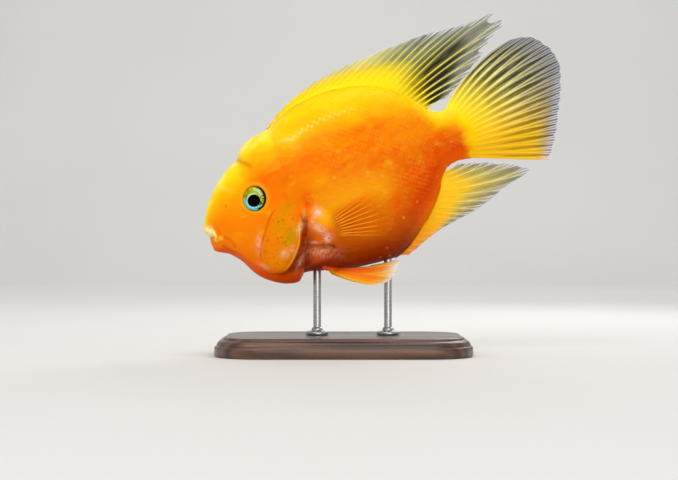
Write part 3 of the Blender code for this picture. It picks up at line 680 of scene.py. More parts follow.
def evenly(ring, counts):
    # the half ring with its points spaced evenly above and below its widest level
    turn = len(ring) // 2
    halves = []
    for part, count in ((ring[: turn + 1], counts[0]), (ring[turn:], counts[1])):
        run = np.concatenate([[0], np.cumsum(np.linalg.norm(np.diff(part, axis=0), axis=1))])
        places = np.linspace(0, run[-1], count + 1)
        halves.append(np.stack([np.interp(places, run, axis) for axis in part.T], axis=1))
    return np.concatenate([halves[0], halves[1][1:]])


def skinRings():
    angle = np.linspace(0, math.pi, 721)
    counts = (skinLook["upperColumns"], skinLook["lowerColumns"])
    bottom = np.tile([mouth["bottom"][0], 0.0, mouth["bottom"][1]], (len(angle), 1))
    guides = [bottom] + [mouthRing(ring, angle) for ring in mouth["rings"]]
    guides += [bodyRing(s, angle) for s in mouth["guides"]]
    rings, places = [], []
    for i, count in enumerate(mouth["between"]):
        p0, p1, p2, p3 = (guides[max(i + k, 0)] for k in (-1, 0, 1, 2))
        for t in np.arange(count) / count:
            ring = 0.5 * (
                2 * p1 + (p2 - p0) * t + (2 * p0 - 5 * p1 + 4 * p2 - p3) * t**2
                + (3 * p1 - p0 - 3 * p2 + p3) * t**3
            )
            rings.append(ring)
            places.append(i + t)
    station = mouth["guides"][-2]
    stepAt = np.array(skinLook["steps"])
    while station < fishBody["length"] - 0.2:
        rings.append(bodyRing(station, angle))
        places.append(20 + station)
        station += float(np.interp(station, stepAt[:, 0], stepAt[:, 1]))
    end = girth(np.full(len(angle), fishBody["length"]), angle)
    middle = (end[0, 2] + end[-1, 2]) / 2
    for share in np.linspace(0, 1, skinLook["endRings"]):
        ring = end.copy()
        rounded = 1 - 0.45 * ((ring[:, 2] - middle) / 14.4) ** 2
        ring[:, 0] += skinLook["endLength"] * share * rounded
        ring[:, 1] *= 1 - 0.97 * share + 0.12 * math.sin(math.pi * share)
        ring[:, 2] = middle + (ring[:, 2] - middle) * (1 - 0.05 * share)
        rings.append(ring)
        places.append(200 + share)
    # the point of the mouth is a pole of its own
    return np.array([evenly(ring, counts) for ring in rings[1:]]), np.array(places[1:]), bottom[0]


def surfaceNormals(grid):
    along = np.gradient(grid, axis=0)
    down = np.gradient(grid, axis=1)
    normal = np.cross(down, along)
    normal[:, 0, 1] = normal[:, -1, 1] = 0
    normal /= np.maximum(np.linalg.norm(normal, axis=2, keepdims=True), 1e-12)
    return normal


def makeSkin(finish):
    grid, places, pole = skinRings()
    normal = surfaceNormals(grid)
    if (normal[40:, 1:-1, 1].mean()) < 0:
        normal = -normal
    s, y, h = np.moveaxis(grid, -1, 0)
    out = relief(s, y, h) + faceRelief(grid)
    out *= np.where(places < 20, smooth(7.0, 11.0, places), 1.0)[:, None]
    out *= np.where(places >= 200, 0.0, 1.0)[:, None]
    for at, level, reach, high in lipLumps:
        out += high * np.exp(-(((s - at) ** 2 + (h - level) ** 2) / reach**2)) * smooth(1.5, 3.5, y)
    grid = grid + normal * out[..., None]
    rings, columns = grid.shape[:2]
    right = grid.reshape(-1, 3)
    left = grid[:, 1:-1] * (1, -1, 1)
    points = np.concatenate([right, left.reshape(-1, 3), [pole]])
    first = rings * columns

    def spot(i, k, side):
        if side > 0 or k in (0, columns - 1):
            return i * columns + k
        return first + i * (columns - 2) + k - 1

    faces = []
    for side in (1, -1):
        for i in range(rings - 1):
            for k in range(columns - 1):
                faces.append((
                    spot(i, k, side), spot(i, k + 1, side), spot(i + 1, k + 1, side),
                    spot(i + 1, k, side),
                ))
        for k in range(columns - 1):
            faces.append((len(points) - 1, spot(0, k, side), spot(0, k + 1, side)))
    last = rings - 1
    for k in range(1, columns - 2):
        faces.append(
            (spot(last, k, 1), spot(last, k + 1, 1), spot(last, k + 1, -1), spot(last, k, -1))
        )
    for a, b in ((0, 1), (columns - 1, columns - 2)):
        faces.append((spot(last, a, 1), spot(last, b, 1), spot(last, b, -1)))
    skin = addMesh("skin", toDisplay(points), faces)
    marks = markings(*points.T)
    across = np.linspace(0, 1, columns)
    ringPlace = np.repeat(places, columns)
    order = np.concatenate([ringPlace, np.repeat(places, columns - 2), [0]])
    turn = np.concatenate([np.tile(across, rings), np.tile(across[1:-1], rings), [0.5]])
    upper = smooth(0.56, 0.44, turn)
    lips = hump(order - 4.4, 1.7) * (order < 20)
    marks["lip"] = lips * upper * smooth(5.6, 4.6, points[:, 0])
    lumps = [np.exp(-(((points[:, 0] - at) ** 2 + (points[:, 2] - level) ** 2) / reach**2))
             for at, level, reach, high in lipLumps[:2]]
    marks["lowerLip"] = np.maximum(0.2 * lips * (1 - upper), np.max(lumps, axis=0) * (order < 20))
    marks["inside"] = smooth(2.2, 0.9, order)
    for name, values in marks.items():
        setValues(skin.data, name, values)
    unwrap = np.concatenate(
        [np.tile(across, rings) * 0.49, 1 - np.tile(across[1:-1], rings) * 0.49, [0.5]]
    )
    along = np.linspace(0, 1, rings)
    rows = np.concatenate([np.repeat(along, columns), np.repeat(along, columns - 2), [0.0]])
    setMap(skin.data, "OFBake", np.stack([unwrap, rows], axis=1))
    skin.data.materials.append(finish)
    handOver(skin, "trunk", "head", "trunk", "tail_stem", "gill_cover_left", "gill_cover_right")


# flesh colours by height, from the underside up: the darkest stops at the underside are partly the
# fish's own deeper red and partly painted shade, and the top stops of head and nape are a painted
# highlight along the forehead and nape
fleshLook = {
    "head": [  # from the underside up
        (0.02, (234, 84, 6)), (0.09, (240, 100, 4)), (0.15, (248, 118, 4)), (0.26, (250, 124, 4)),
        (0.38, (250, 130, 4)), (0.52, (253, 132, 2)), (0.66, (254, 150, 3)), (0.76, (254, 166, 3)),
        (0.86, (253, 196, 4)), (0.94, (252, 222, 24)), (1.0, (254, 238, 108)),
    ],
    "nape": [
        (0.02, (224, 74, 6)), (0.10, (220, 84, 6)), (0.18, (238, 108, 4)), (0.34, (244, 124, 4)),
        (0.46, (248, 130, 3)), (0.64, (253, 124, 2)), (0.76, (254, 144, 3)), (0.86, (254, 176, 3)),
        (0.95, (252, 214, 24)), (1.0, (253, 236, 110)),
    ],
    "flank": [
        (0.02, (134, 34, 2)), (0.08, (166, 54, 2)), (0.15, (202, 84, 3)), (0.26, (226, 108, 3)),
        (0.36, (250, 152, 2)), (0.48, (252, 138, 2)), (0.66, (254, 116, 0)), (0.76, (254, 152, 1)),
        (0.86, (253, 194, 0)), (0.94, (253, 214, 2)),
    ],
    "rear": [
        (0.0, (253, 126, 2)), (0.06, (240, 90, 0)), (0.16, (224, 58, 0)), (0.30, (234, 80, 0)),
        (0.42, (238, 98, 2)), (0.55, (252, 130, 4)), (0.72, (254, 144, 3)), (0.83, (254, 166, 2)),
        (0.91, (254, 200, 4)), (0.98, (253, 220, 8)),
    ],
    "stem": [
        (0.05, (244, 96, 2)), (0.24, (232, 70, 0)), (0.42, (234, 84, 0)), (0.60, (252, 136, 2)),
        (0.70, (254, 184, 2)), (0.84, (253, 212, 8)), (0.98, (252, 232, 56)),
    ],
    "finRoot": [
        (0.0, (246, 188, 2)), (0.2, (250, 198, 2)), (0.6, (253, 212, 5)), (0.95, (252, 228, 30)),
    ],
}


def fleshColour(tree):
    level, station = reads(tree, "height"), reads(tree, "station")
    blotch = grain(tree, 13.0, 3.0)
    fine = grain(tree, 4.2, 4.0, inFishFrame(tree, (0.6, 1, 1.4)))
    # colours drift up and down less near the belly, where they change quickly
    drift = (blotch - 0.5) * 0.16
    drift += (fine - 0.5) * 0.08
    drift *= mapped(level, 0.14, 0.42, 0.2, 1.0)
    height = maths("MAXIMUM", level + drift, 0.0)
    zones = {name: ramped(height, stops) for name, stops in fleshLook.items()}
    colour = zones["head"]
    for name, start, end in (
        ("nape", 0.15, 0.25), ("flank", 0.33, 0.44), ("rear", 0.64, 0.8), ("stem", 0.85, 0.92),
    ):
        colour = mixed(mapped(station, start, end), colour, zones[name])
    colour = mixed(mapped(station + fine * 0.05, 1.0, 1.06), colour, zones["finRoot"])
    # streaks of deeper orange along the flank
    streaks = mapped(grain(tree, 10.0, 5.0, inFishFrame(tree, (0.34, 1, 1.3), 20)), 0.44, 0.7)
    streaks *= mapped(station, 0.28, 0.5, 0.2, 0.62)
    streaks *= mapped(station, 0.98, 0.92)
    streaks *= mapped(height, 0.85, 0.66)
    streaks *= mapped(height, 0.2, 0.34)
    bright = reads(tree, "bright")
    streaks *= 1.0 - bright * 0.8
    colour = mixed(streaks, colour, paint(242, 98, 2))
    lighter = mixed(mapped(height, 0.62, 0.76), paint(255, 164, 4), paint(255, 208, 6))
    colour = mixed(bright * 0.8, colour, lighter)
    uneven = mapped(grain(tree, 3.4, 4.0), 0.3, 0.62, 0.55, 1.0)
    colour = mixed(reads(tree, "warm") * uneven, colour, paint(246, 86, 0))
    glow = mapped(grain(tree, 5.5, 4.0, inFishFrame(tree, (0.6, 1, 1))), 0.54, 0.74, 0.0, 0.4)
    glow *= mapped(level, 0.24, 0.44, 0.12, 1.0)
    colour = mixed(glow, colour, paint(255, 182, 20))
    dots = mapped(grain(tree, 0.8, 3.0), 0.62, 0.72, 0.0, 0.4)
    dots *= mapped(level, 0.52, 0.26)
    dots *= mapped(station, 0.38, 0.5)
    dots *= mapped(level, 0.12, 0.24)
    colour = mixed(dots, colour, paint(252, 168, 24))
    mottled = mapped(grain(tree, 4.4, 5.0, None, 0.62), 0.38, 0.64)
    plateColour = mixed(mottled, paint(250, 134, 2), paint(232, 148, 2))
    colour = mixed(reads(tree, "plate") * 0.8, colour, plateColour)
    dusk = mapped(grain(tree, 3.4, 5.0, None, 0.6), 0.34, 0.62, 0.5, 1.0)
    colour = mixed(reads(tree, "olive") * dusk, colour, paint(200, 146, 0))
    specks = mapped(grain(tree, 1.7, 4.0, None, 0.62), 0.56, 0.63, 0.0, 0.6)
    colour = mixed(reads(tree, "plate") * specks, colour, paint(190, 84, 2))
    veil = mixed(mapped(grain(tree, 3.0, 3.0), 0.38, 0.62), paint(116, 26, 2), paint(148, 42, 3))
    # the rim is a painted highlight on the plate's raised edge, and the shade and crease marks are
    # painted shade
    for name, strength, tone in (
        ("membrane", 0.95, veil), ("rim", 0.8, paint(255, 212, 60)),
        ("shoulder", 0.9, paint(252, 176, 2)), ("shade", 0.85, paint(122, 32, 12)),
        ("creaseShade", 0.85, paint(200, 66, 0)),
    ):
        colour = mixed(reads(tree, name) * strength, colour, tone)
    patchy = mapped(grain(tree, 2.0, 5.0, None, 0.6), 0.34, 0.6, 0.1, 1.0)
    pale = reads(tree, "pale") * patchy
    tone = mapped(grain(tree, 3.0, 2.0), 0.35, 0.62)
    low = mapped(level, 0.16, 0.06)
    paleTone = mixed(tone, paint(246, 190, 170), paint(252, 214, 150))
    paleTone = mixed(low, paleTone, paint(206, 128, 108))
    rosy = mapped(station, 0.392, 0.402) * mapped(level, 0.13, 0.2)
    paleTone = mixed(rosy, paleTone, paint(246, 207, 188))
    # high on the body the pale spots turn cream-yellow: painted highlights
    paleTone = mixed(mapped(level, 0.55, 0.66), paleTone, paint(255, 236, 120))
    colour = mixed(pale, colour, paleTone)
    return mixed(reads(tree, "fan") * 0.6, colour, paint(206, 84, 6))


def fleshShader(shader):
    dial(shader, {
        "Specular IOR Level": 0.05, "Specular Tint": (1.0, 0.76, 0.4, 1.0), "Coat Weight": 0.012,
        "Coat Roughness": 0.12, "Subsurface Weight": 0.12, "Subsurface Radius": (1.0, 0.35, 0.08),
        "Subsurface Scale": 0.003,
    })


def skinFinish():
    finish, tree, shader = newFinish("wet_orange_skin")
    colour = fleshColour(tree)
    colour = mixed(reads(tree, "lid") * 0.35, colour, paint(254, 190, 20))
    lumps = grain(tree, 1.8, 3.0)
    upperTone = ramped(lumps, [(0.3, (252, 214, 96)), (0.6, (254, 234, 164))])
    lowerTone = ramped(lumps, [(0.35, (252, 170, 24)), (0.6, (254, 204, 66))])
    colour = mixed(mapped(reads(tree, "lip"), 0.2, 0.6), colour, upperTone)
    colour = mixed(mapped(reads(tree, "lowerLip"), 0.2, 0.8), colour, lowerTone)
    colour = mixed(reads(tree, "inside"), colour, paint(120, 44, 30))
    dial(shader, {
        "Base Color": colour, "Roughness": mapped(grain(tree, 3.0, 4.0), 0.3, 0.7, 0.34, 0.5),
    })
    fleshShader(shader)
    cells = tree.nodes.new("ShaderNodeTexVoronoi")
    cells.feature = "SMOOTH_F1"
    dial(cells, {"Scale": 1000 / 1.7, "Vector": inFishFrame(tree, (0.8, 1, 1))})
    height = Reading(cells.outputs["Distance"]) * 0.35 + grain(tree, 0.6, 3.0)
    bumped(shader, height, 0.09, 0.55)
    return finish


# Scales, in rows that close up towards the tail

scaleCoat = {
    "from": 38.0,  # stations of the first and last rows
    "to": 141.5,
    "midline": 0.47,  # how far down the flank the rows are counted from
    "along": 3.35,
    "across": 3.15,
    "length": 1.62,  # of a scale, against the step along the row
    "width": 1.22,
    "shrink": 0.32,  # how much smaller the scales get as the body narrows
    "rim": 0.028,  # thickness, against its width
    "dome": 0.05,
    "tilt": 1.7,  # degrees that the rear edge stands up
    "rise": 0.04,
    "turn": 8.0,  # degrees of random turn
    "sizeSpread": 0.09,
    "glintRow": [
        (50.0, 27.0), (57.2, 27.3), (65.0, 28.9), (76.2, 30.9), (86.2, 31.1), (96.0, 30.2),
    ],
    "bakeSpan": (36.0, 108.0),  # where the coat starts and how long it is, for its bake map
    "bakePatch": 0.003,  # side of a scale's own patch of that map
    "seed": 11,
}


def scaleShape():
    # one scale of unit size: x runs to its free rear edge, y across, z out
    rows, columns = 5, 5
    us, vs = np.linspace(0, 1, rows), np.linspace(-1, 1, columns)
    points, marks = [], []
    for layer in (1, 0):
        for u in us:
            for v in vs:
                curve = math.sqrt(max(0.0, 1 - (0.93 * v) ** 2))
                front = -0.5 + 0.16 * (1 - curve)
                rear = 0.5 - 0.42 * (1 - curve)
                x = front + (rear - front) * u
                wide = 0.5 * v * (0.80 + 0.20 * math.sin(math.pi * min(u * 0.9 + 0.15, 1)))
                top = scaleCoat["dome"] * (1 - v * v) * math.sin(math.pi * (0.15 + 0.75 * u))
                points.append(
                    (x, wide, top * 0.5 + (layer - 0.5) * scaleCoat["rim"] * (1 - 0.35 * u))
                )
                marks.append((u, (v + 1) / 2, layer))
    count = rows * columns
    faces = []
    for i in range(rows - 1):
        for k in range(columns - 1):
            a = i * columns + k
            faces.append((a, a + columns, a + columns + 1, a + 1))
            faces.append((count + a, count + a + 1, count + a + columns + 1, count + a + columns))
    rim = list(range(columns)) + [i * columns + columns - 1 for i in range(1, rows)]
    rim += (
        list(range(count - 2, count - columns - 1, -1))
        + [i * columns for i in range(rows - 2, 0, -1)]
    )
    for a, b in zip(rim, rim[1:] + rim[:1]):
        faces.append((a, b, count + b, count + a))
    shape = addMesh("scale_shape", np.array(points), faces)
    marks = np.array(marks)
    setValues(shape.data, "lengthwise", marks[:, 0])
    setValues(shape.data, "crosswise", marks[:, 1])
    return shape


def scaleRoots(side):
    # place, normal, rearward direction, size, turn round the body and settling of every
    # scale on one flank
    angle = np.linspace(0, math.pi, 361)
    widest = 0.0
    for s in np.linspace(60, 100, 9):
        ring = girth(np.full(len(angle), s), angle)
        widest = max(widest, np.linalg.norm(np.diff(ring, axis=0), axis=1).sum())
    spots = []
    s, column = scaleCoat["from"], 0
    while s < scaleCoat["to"]:
        ring = girth(np.full(len(angle), s), angle)
        ahead = girth(np.full(len(angle), s + 0.4), angle)
        run = np.concatenate([[0], np.cumsum(np.linalg.norm(np.diff(ring, axis=0), axis=1))])
        close = (run[-1] / widest) ** scaleCoat["shrink"]
        middle = np.interp(scaleCoat["midline"] * math.pi, angle, run)
        step = scaleCoat["across"] * close
        rowsUp = int((middle - 1.2) / step)
        rowsDown = int((run[-1] - middle - 1.6) / step)
        for row in range(-rowsUp, rowsDown + 1):
            place = middle + (row + 0.5 * (column % 2)) * step
            if not 1.0 < place < run[-1] - 1.4:
                continue
            turn = np.interp(place, run, angle)
            at = np.array([np.interp(place, run, axis) for axis in ring.T])
            nextAt = np.array([np.interp(turn, angle, axis) for axis in ahead.T])
            below = np.array([np.interp(turn + 0.01, angle, axis) for axis in ring.T])
            spots.append((*at, *(nextAt - at), *(below - at), close, turn / math.pi))
        s += scaleCoat["along"] * close / 2
        column += 1
    spots = np.array(spots)
    at, rearward, down = spots[:, :3], spots[:, 3:6], spots[:, 6:9]
    close, turn = spots[:, 9], spots[:, 10]
    normal = np.cross(down, rearward)
    normal /= np.linalg.norm(normal, axis=1, keepdims=True)
    normal *= np.sign(normal[:, 1:2] + 1e-9)
    rearward /= np.linalg.norm(rearward, axis=1, keepdims=True)
    s, y, h = at.T
    behind, _ = behindGill(s, h)
    start = np.where(h > -6.0, s - (44.0 + 0.10 * np.maximum(h, 0) ** 1.1), behind - 3.0)
    start = np.minimum(start, s - 39.0)
    shoulder = np.hypot((s - 57.8) / 6.0, (h + 21.0) / 9.5) - 1
    patch = np.hypot((s - 53.0) / 7.5, (h + 34.0) / 5.5) - 1
    settle = smooth(0.0, 9.0, start) * smooth(0.0, 0.8, shoulder) * smooth(0.0, 0.7, patch)
    settle *= smooth(0.0, 1.6, (back(s) - h)) * smooth(142.5, 137.0, s)
    keep = settle > 0.1
    at, normal, rearward = at[keep], normal[keep], rearward[keep]
    close, turn, settle = close[keep], turn[keep], settle[keep]
    s, y, h = at.T
    lift = relief(s, y, h) + scaleCoat["rise"] * (0.4 + 0.6 * settle)
    at = at + normal * lift[:, None]
    mirror = np.array([1, side, 1])
    return (
        at * mirror, normal * mirror, rearward * mirror, close * (0.7 + 0.3 * settle), turn, settle,
    )


def scaleTree():
    tree = bpy.data.node_groups.new("lay_scales", "GeometryNodeTree")
    face, nodes = tree.interface, tree.nodes
    kinds = {
        "Scale shape": "Object", "Length": "Float", "Width": "Float", "Thickness": "Float",
        "Tilt": "Float", "Turn": "Float", "Size spread": "Float", "Seed": "Int",
        "Finish": "Material",
    }
    face.new_socket("Geometry", in_out="INPUT", socket_type="NodeSocketGeometry")
    inputs = {
        name: face.new_socket(name, in_out="INPUT", socket_type=f"NodeSocket{kind}").identifier
        for name, kind in kinds.items()
    }
    face.new_socket("Geometry", in_out="OUTPUT", socket_type="NodeSocketGeometry")
    given = nodes.new("NodeGroupInput")
    asked = {name: Reading(given.outputs[name]) for name in kinds}

    def named(name, kind="FLOAT"):
        node = nodes.new("GeometryNodeInputNamedAttribute")
        node.data_type = kind
        dial(node, {"Name": name})
        return Reading(node.outputs["Attribute"])

    def draw(low, high, offset):
        # a random number for each scale, between two readings
        node = nodes.new("FunctionNodeRandomValue")
        dial(node, {2: low, 3: high, "Seed": asked["Seed"] + offset})
        return Reading(node.outputs[1])

    shape = nodes.new("GeometryNodeObjectInfo")
    dial(shape, {"Object": asked["Scale shape"]})
    lie = nodes.new("FunctionNodeAxesToRotation")
    lie.primary_axis, lie.secondary_axis = "Z", "X"
    dial(lie, {0: named("outward", "FLOAT_VECTOR"), 1: named("rearward", "FLOAT_VECTOR")})
    angles = nodes.new("ShaderNodeCombineXYZ")
    turn = draw(asked["Turn"] * -1.0, asked["Turn"], 1)
    dial(angles, {"Y": asked["Tilt"] * (named("settled") * -1.0), "Z": turn})
    extra = nodes.new("FunctionNodeEulerToRotation")
    dial(extra, {0: angles.outputs[0]})
    rotate = nodes.new("FunctionNodeRotateRotation")
    rotate.rotation_space = "LOCAL"
    dial(rotate, {0: lie.outputs[0], 1: extra.outputs[0]})
    grow = draw(1.0 - asked["Size spread"], 1.0 + asked["Size spread"], 2) * named("size")
    sizes = nodes.new("ShaderNodeCombineXYZ")
    thickness = asked["Thickness"] * named("settled")
    dial(sizes, {"X": grow * asked["Length"], "Y": grow * asked["Width"], "Z": thickness})
    lay = nodes.new("GeometryNodeInstanceOnPoints")
    dial(lay, {
        "Points": given.outputs["Geometry"], "Instance": shape.outputs["Geometry"],
        "Rotation": rotate.outputs[0], "Scale": sizes.outputs[0],
    })
    real = nodes.new("GeometryNodeRealizeInstances")
    dial(real, {0: lay.outputs[0]})
    dress = nodes.new("GeometryNodeSetMaterial")
    dial(dress, {"Geometry": real.outputs[0], "Material": asked["Finish"]})
    done = nodes.new("NodeGroupOutput")
    dial(done, {0: dress.outputs[0]})
    return tree, inputs


def makeScales(finish):
    tree, inputs = scaleTree()
    glintLine = lineThrough(scaleCoat["glintRow"])
    shape = scaleShape()
    draws = np.random.default_rng(scaleCoat["seed"])
    for label, side in (("left", -1), ("right", 1)):
        at, normal, rearward, size, turn, settle = scaleRoots(side)
        places = toDisplay(at)
        normal = (toDisplay(at + normal) - places) / mm
        rearward = (toDisplay(at + rearward) - places) / mm
        roots = bpy.data.meshes.new(f"scale_roots_{label}")
        roots.from_pydata(places.tolist(), [], [])
        for name, values in (("outward", normal), ("rearward", rearward)):
            layer = roots.attributes.new(name, "FLOAT_VECTOR", "POINT")
            layer.data.foreach_set("vector", np.ascontiguousarray(values, np.float32).ravel())
        setValues(roots, "size", size)
        setValues(roots, "rootU", turn * 0.96 + 0.02)
        setValues(roots, "rootV", (at[:, 0] - scaleCoat["bakeSpan"][0]) / scaleCoat["bakeSpan"][1])
        setValues(roots, "settled", settle)
        setValues(roots, "tone", draws.uniform(0, 1, len(at)))
        row = (
            hump(at[:, 2] - glintLine(at[:, 0]), 1.2) * smooth(54, 60, at[:, 0])
            * smooth(97, 84, at[:, 0])
        )
        stray = (draws.uniform(0, 1, len(at)) > 0.98) * draws.uniform(0.05, 0.25, len(at))
        setValues(roots, "glint", np.maximum(row * draws.uniform(0.35, 0.8, len(at)), stray))
        carrier = bpy.data.objects.new(f"scale_carrier_{label}", roots)
        bpy.context.scene.collection.objects.link(carrier)
        layer = carrier.modifiers.new("lay_scales", "NODES")
        layer.node_group = tree
        values = {
            "Scale shape": shape, "Length": scaleCoat["along"] * scaleCoat["length"] * mm,
            "Width": scaleCoat["across"] * scaleCoat["width"] * mm,
            "Thickness": scaleCoat["across"] * mm, "Tilt": math.radians(scaleCoat["tilt"]),
            "Turn": math.radians(scaleCoat["turn"]), "Size spread": scaleCoat["sizeSpread"],
            "Seed": scaleCoat["seed"] + side, "Finish": finish,
        }
        for name, value in values.items():
            layer[inputs[name]] = value
        graph = bpy.context.evaluated_depsgraph_get()
        mesh = bpy.data.meshes.new_from_object(
            carrier.evaluated_get(graph), preserve_all_data_layers=True, depsgraph=graph,
        )
        bpy.data.objects.remove(carrier)
        mesh.name = f"scales_{label}"
        coat = bpy.data.objects.new(f"scales_{label}", mesh)
        bpy.context.scene.collection.objects.link(coat)
        count = len(mesh.vertices)
        spots = np.empty(count * 3, np.float32)
        mesh.vertices.foreach_get("co", spots)
        for name, found in markings(*fromDisplay(spots.reshape(-1, 3)).T).items():
            if name != "lid":
                setValues(mesh, name, found)

        def heldValues(name):
            found = np.empty(count, np.float32)
            mesh.attributes[name].data.foreach_get("value", found)
            return found

        places = (
            heldValues(root) + scaleCoat["bakePatch"] * (heldValues(way) - 0.5)
            for root, way in (("rootU", "crosswise"), ("rootV", "lengthwise"))
        )
        setMap(mesh, "OFBake", np.stack(list(places), axis=1))
        mesh.shade_smooth()
        mesh.set_sharp_from_angle(angle=math.radians(50))
        print(len(at), "scales on the", label)
        handOver(coat, "trunk")
    bpy.data.objects.remove(shape)


def scaleFinish():
    finish, tree, shader = newFinish("orange_scale")
    colour = fleshColour(tree)
    rear, settled, level = (reads(tree, name) for name in ("lengthwise", "settled", "height"))
    settled *= mapped(level, 0.1, 0.36, 0.1, 1.0)
    tone = mapped(reads(tree, "tone"), 0.4, 1.0, 0.0, 0.14) * settled
    colour = mixed(tone, colour, paint(255, 170, 18))
    # painted light on the scales, in patches: a lighter rear edge is a painted highlight, and a
    # darker front, where the scale tucks under the one before, is painted shade
    scaleLightPatches = mapped(grain(tree, 5.0, 4.0), 0.4, 0.62)
    scaleLightPatches *= mapped(level, 0.1, 0.3, 0.25, 1.0)
    crisp = scaleLightPatches * mapped(reads(tree, "station"), 0.6, 0.86, 1.2, 2.6)
    edge = mapped(rear, 0.8, 0.98, 0.0, 0.1) * crisp
    colour = mixed(edge, colour, paint(255, 200, 70))
    tuckShade = mapped(rear, 0.56, 0.34, 0.0, 0.12) * scaleLightPatches
    colour = mixed(tuckShade, colour, paint(226, 84, 2))
    across = abs(reads(tree, "crosswise") - 0.5)
    behind = abs(rear - 0.78)
    oval = across * 1.5 + behind * 3.4
    glint = mapped(oval, 0.95, 0.1) * reads(tree, "glint")
    colour = mixed(glint, colour, paint(255, 232, 110))
    dial(shader, {
        "Base Color": colour, "Roughness": mapped(grain(tree, 2.4, 3.0), 0.3, 0.7, 0.3, 0.44),
    })
    fleshShader(shader)
    bumped(shader, grain(tree, 0.5, 3.0, inFishFrame(tree, (0.35, 1, 1))), 0.05, 0.5)
    return finish


# Fins

finSheets = {
    "dorsal": {
        "tips": [
            (51.0, 39.6), (55.6, 42.6), (62.2, 46.0), (70.1, 49.2), (80.5, 52.0), (91.9, 53.8),
            (105.5, 54.6), (119.3, 55.4), (130.0, 55.7), (141.0, 55.6),
        ],
        "spineRoots": (48.2, 108.0), "spines": 16,
        "softTips": [
            (147.6, 55.2), (154.6, 54.4), (161.8, 53.6), (170.0, 53.6), (178.4, 54.2),
            (183.0, 46.8), (174.0, 41.6), (166.0, 34.8), (158.0, 29.0), (150.2, 24.8),
            (142.0, 20.6),
        ],
        "softRoots": (111.4, 129.6), "bow": 0.06, "sway": 0.045, "wave": 17.0,
        "build": (2.9, 0.13, 6.0), "ridge": 0.42, "ridgeWidth": (0.62, 0.34), "ridgeFrom": 0.3,
        "branchFrom": 0.5, "branchReach": 0.22, "notch": 1.0,
        "fray": [(18.6, 22.4, 9.0), (22.6, 26.5, 1.4)], "perGap": 22, "rows": 60, "ripple": 0.7,
    },
    "anal": {
        "tips": [
            (95.4, -49.4), (99.8, -48.0), (104.4, -46.0), (108.8, -44.6), (113.2, -43.2),
            (117.6, -42.2), (122.4, -41.4), (127.4, -40.8),
        ],
        "spineRoots": (90.4, 111.6), "spines": 8,
        "softTips": [
            (132.4, -40.2), (139.0, -38.8), (146.6, -36.4), (155.0, -33.2), (168.9, -29.2),
            (160.6, -22.8), (151.0, -18.4), (142.6, -15.4), (135.6, -13.6),
        ],
        "softRoots": (113.6, 127.2), "bow": -0.05, "sway": 0.04, "wave": 15.0,
        "build": (1.7, 0.13, 5.5), "ridge": 0.40, "ridgeWidth": (0.62, 0.32), "ridgeFrom": 0.34,
        "branchFrom": 0.45, "branchReach": 0.22, "notch": 0.4, "fray": [(12.5, 15.5, 1.6)],
        "perGap": 14, "rows": 52, "ripple": 0.6,
    },
    "tail": {
        "tips": [
            (182.5, 37.5), (190.2, 36.4), (195.6, 32.6), (199.9, 26.5), (202.0, 17.7), (199.8, 7.8),
            (192.8, -7.6), (185.6, -21.0), (180.1, -28.0),
        ],
        "rays": 16, "bow": 0.16 * np.linspace(1, 0, 16) ** 2, "sway": -0.05, "wave": 26.0,
        "ridgeFrom": 0.24,
        "build": (3.75, 0.13, 5.4), "ridge": 0.44, "ridgeWidth": (0.8, 0.34),
        "branchFrom": 0.3, "branchReach": 0.26, "notch": 0.5, "fray": [(6.0, 13.0, 0.45)],
        "perGap": 18, "rows": 64, "ripple": 0.8,
    },
    "pectoral": {
        "roots": [(58.8, -18.4), (59.4, -21.2), (60.4, -24.2), (61.8, -27.0)],
        "tips": [
            (82.0, -8.6), (88.6, -11.4), (93.4, -16.8), (95.2, -23.4), (93.2, -29.8), (87.6, -34.4),
            (79.2, -36.6),
        ],
        "rays": 13, "lifts": {"left": 1.2, "right": 4.0},
        "build": (0.8, 0.08, 3.0), "ridge": 0.15, "ridgeWidth": (0.42, 0.22),
        "branchFrom": 0.45, "branchReach": 0.22, "notch": 0.4, "fray": [(2.0, 10.0, 0.8)],
        "perGap": 12, "rows": 48, "ripple": 0.2,
    },
    "pelvic": {
        "roots": [(51.6, 8.4), (53.4, 7.0), (55.2, 5.8), (57.0, 4.8)],
        "bend": (-1.5, 1.0, -2.4),
        "tips": [  # s, aside, h
            (71.6, 12.8, -57.2), (79.0, 13.2, -58.3), (85.2, 12.6, -55.4), (90.0, 10.6, -50.8),
            (83.4, 7.2, -49.2), (75.0, 5.2, -48.0),
        ],
        "build": (1.0, 0.12, 2.2), "ridge": 0.26, "ridgeWidth": (0.6, 0.3),
        "branchFrom": 0.4, "branchReach": 0.24, "notch": 0.3, "fray": [(2.0, 4.0, 0.5)],
        "perGap": 22, "rows": 50, "ripple": 0.3,
    },
}


def bent(root, knee, tip, t):
    return root * (1 - t) ** 2 + knee * 2 * t * (1 - t) + tip * t * t


def flatRays(roots, tips, look, t):
    # rays in the middle plane, waved a little sideways
    rays = []
    for root, tip, bow in zip(roots, tips, np.broadcast_to(look["bow"], len(roots))):
        way = tip - root
        knee = root + way / 2 + np.array([-way[1], way[0]]) * bow
        line = bent(root, knee, tip, t[:, None])
        reach = np.linalg.norm(line - root, axis=1) * np.sign(t)
        aside = look["sway"] * reach * np.sin(line[:, 0] / look["wave"])
        rays.append(np.stack([line[:, 0], aside, line[:, 1]], axis=1))
    return np.array(rays)


def edgeRoots(edge, first, last, count, out):
    stations = np.linspace(first, last, 200)
    roots = spread(np.stack([stations, edge(stations)], axis=1), count)
    lean = (edge(roots[:, 0] + 0.3) - edge(roots[:, 0] - 0.3)) / 0.6
    normal = np.stack([-lean, np.ones(count)], axis=1) / np.sqrt(1 + lean**2)[:, None]
    return roots + normal * out


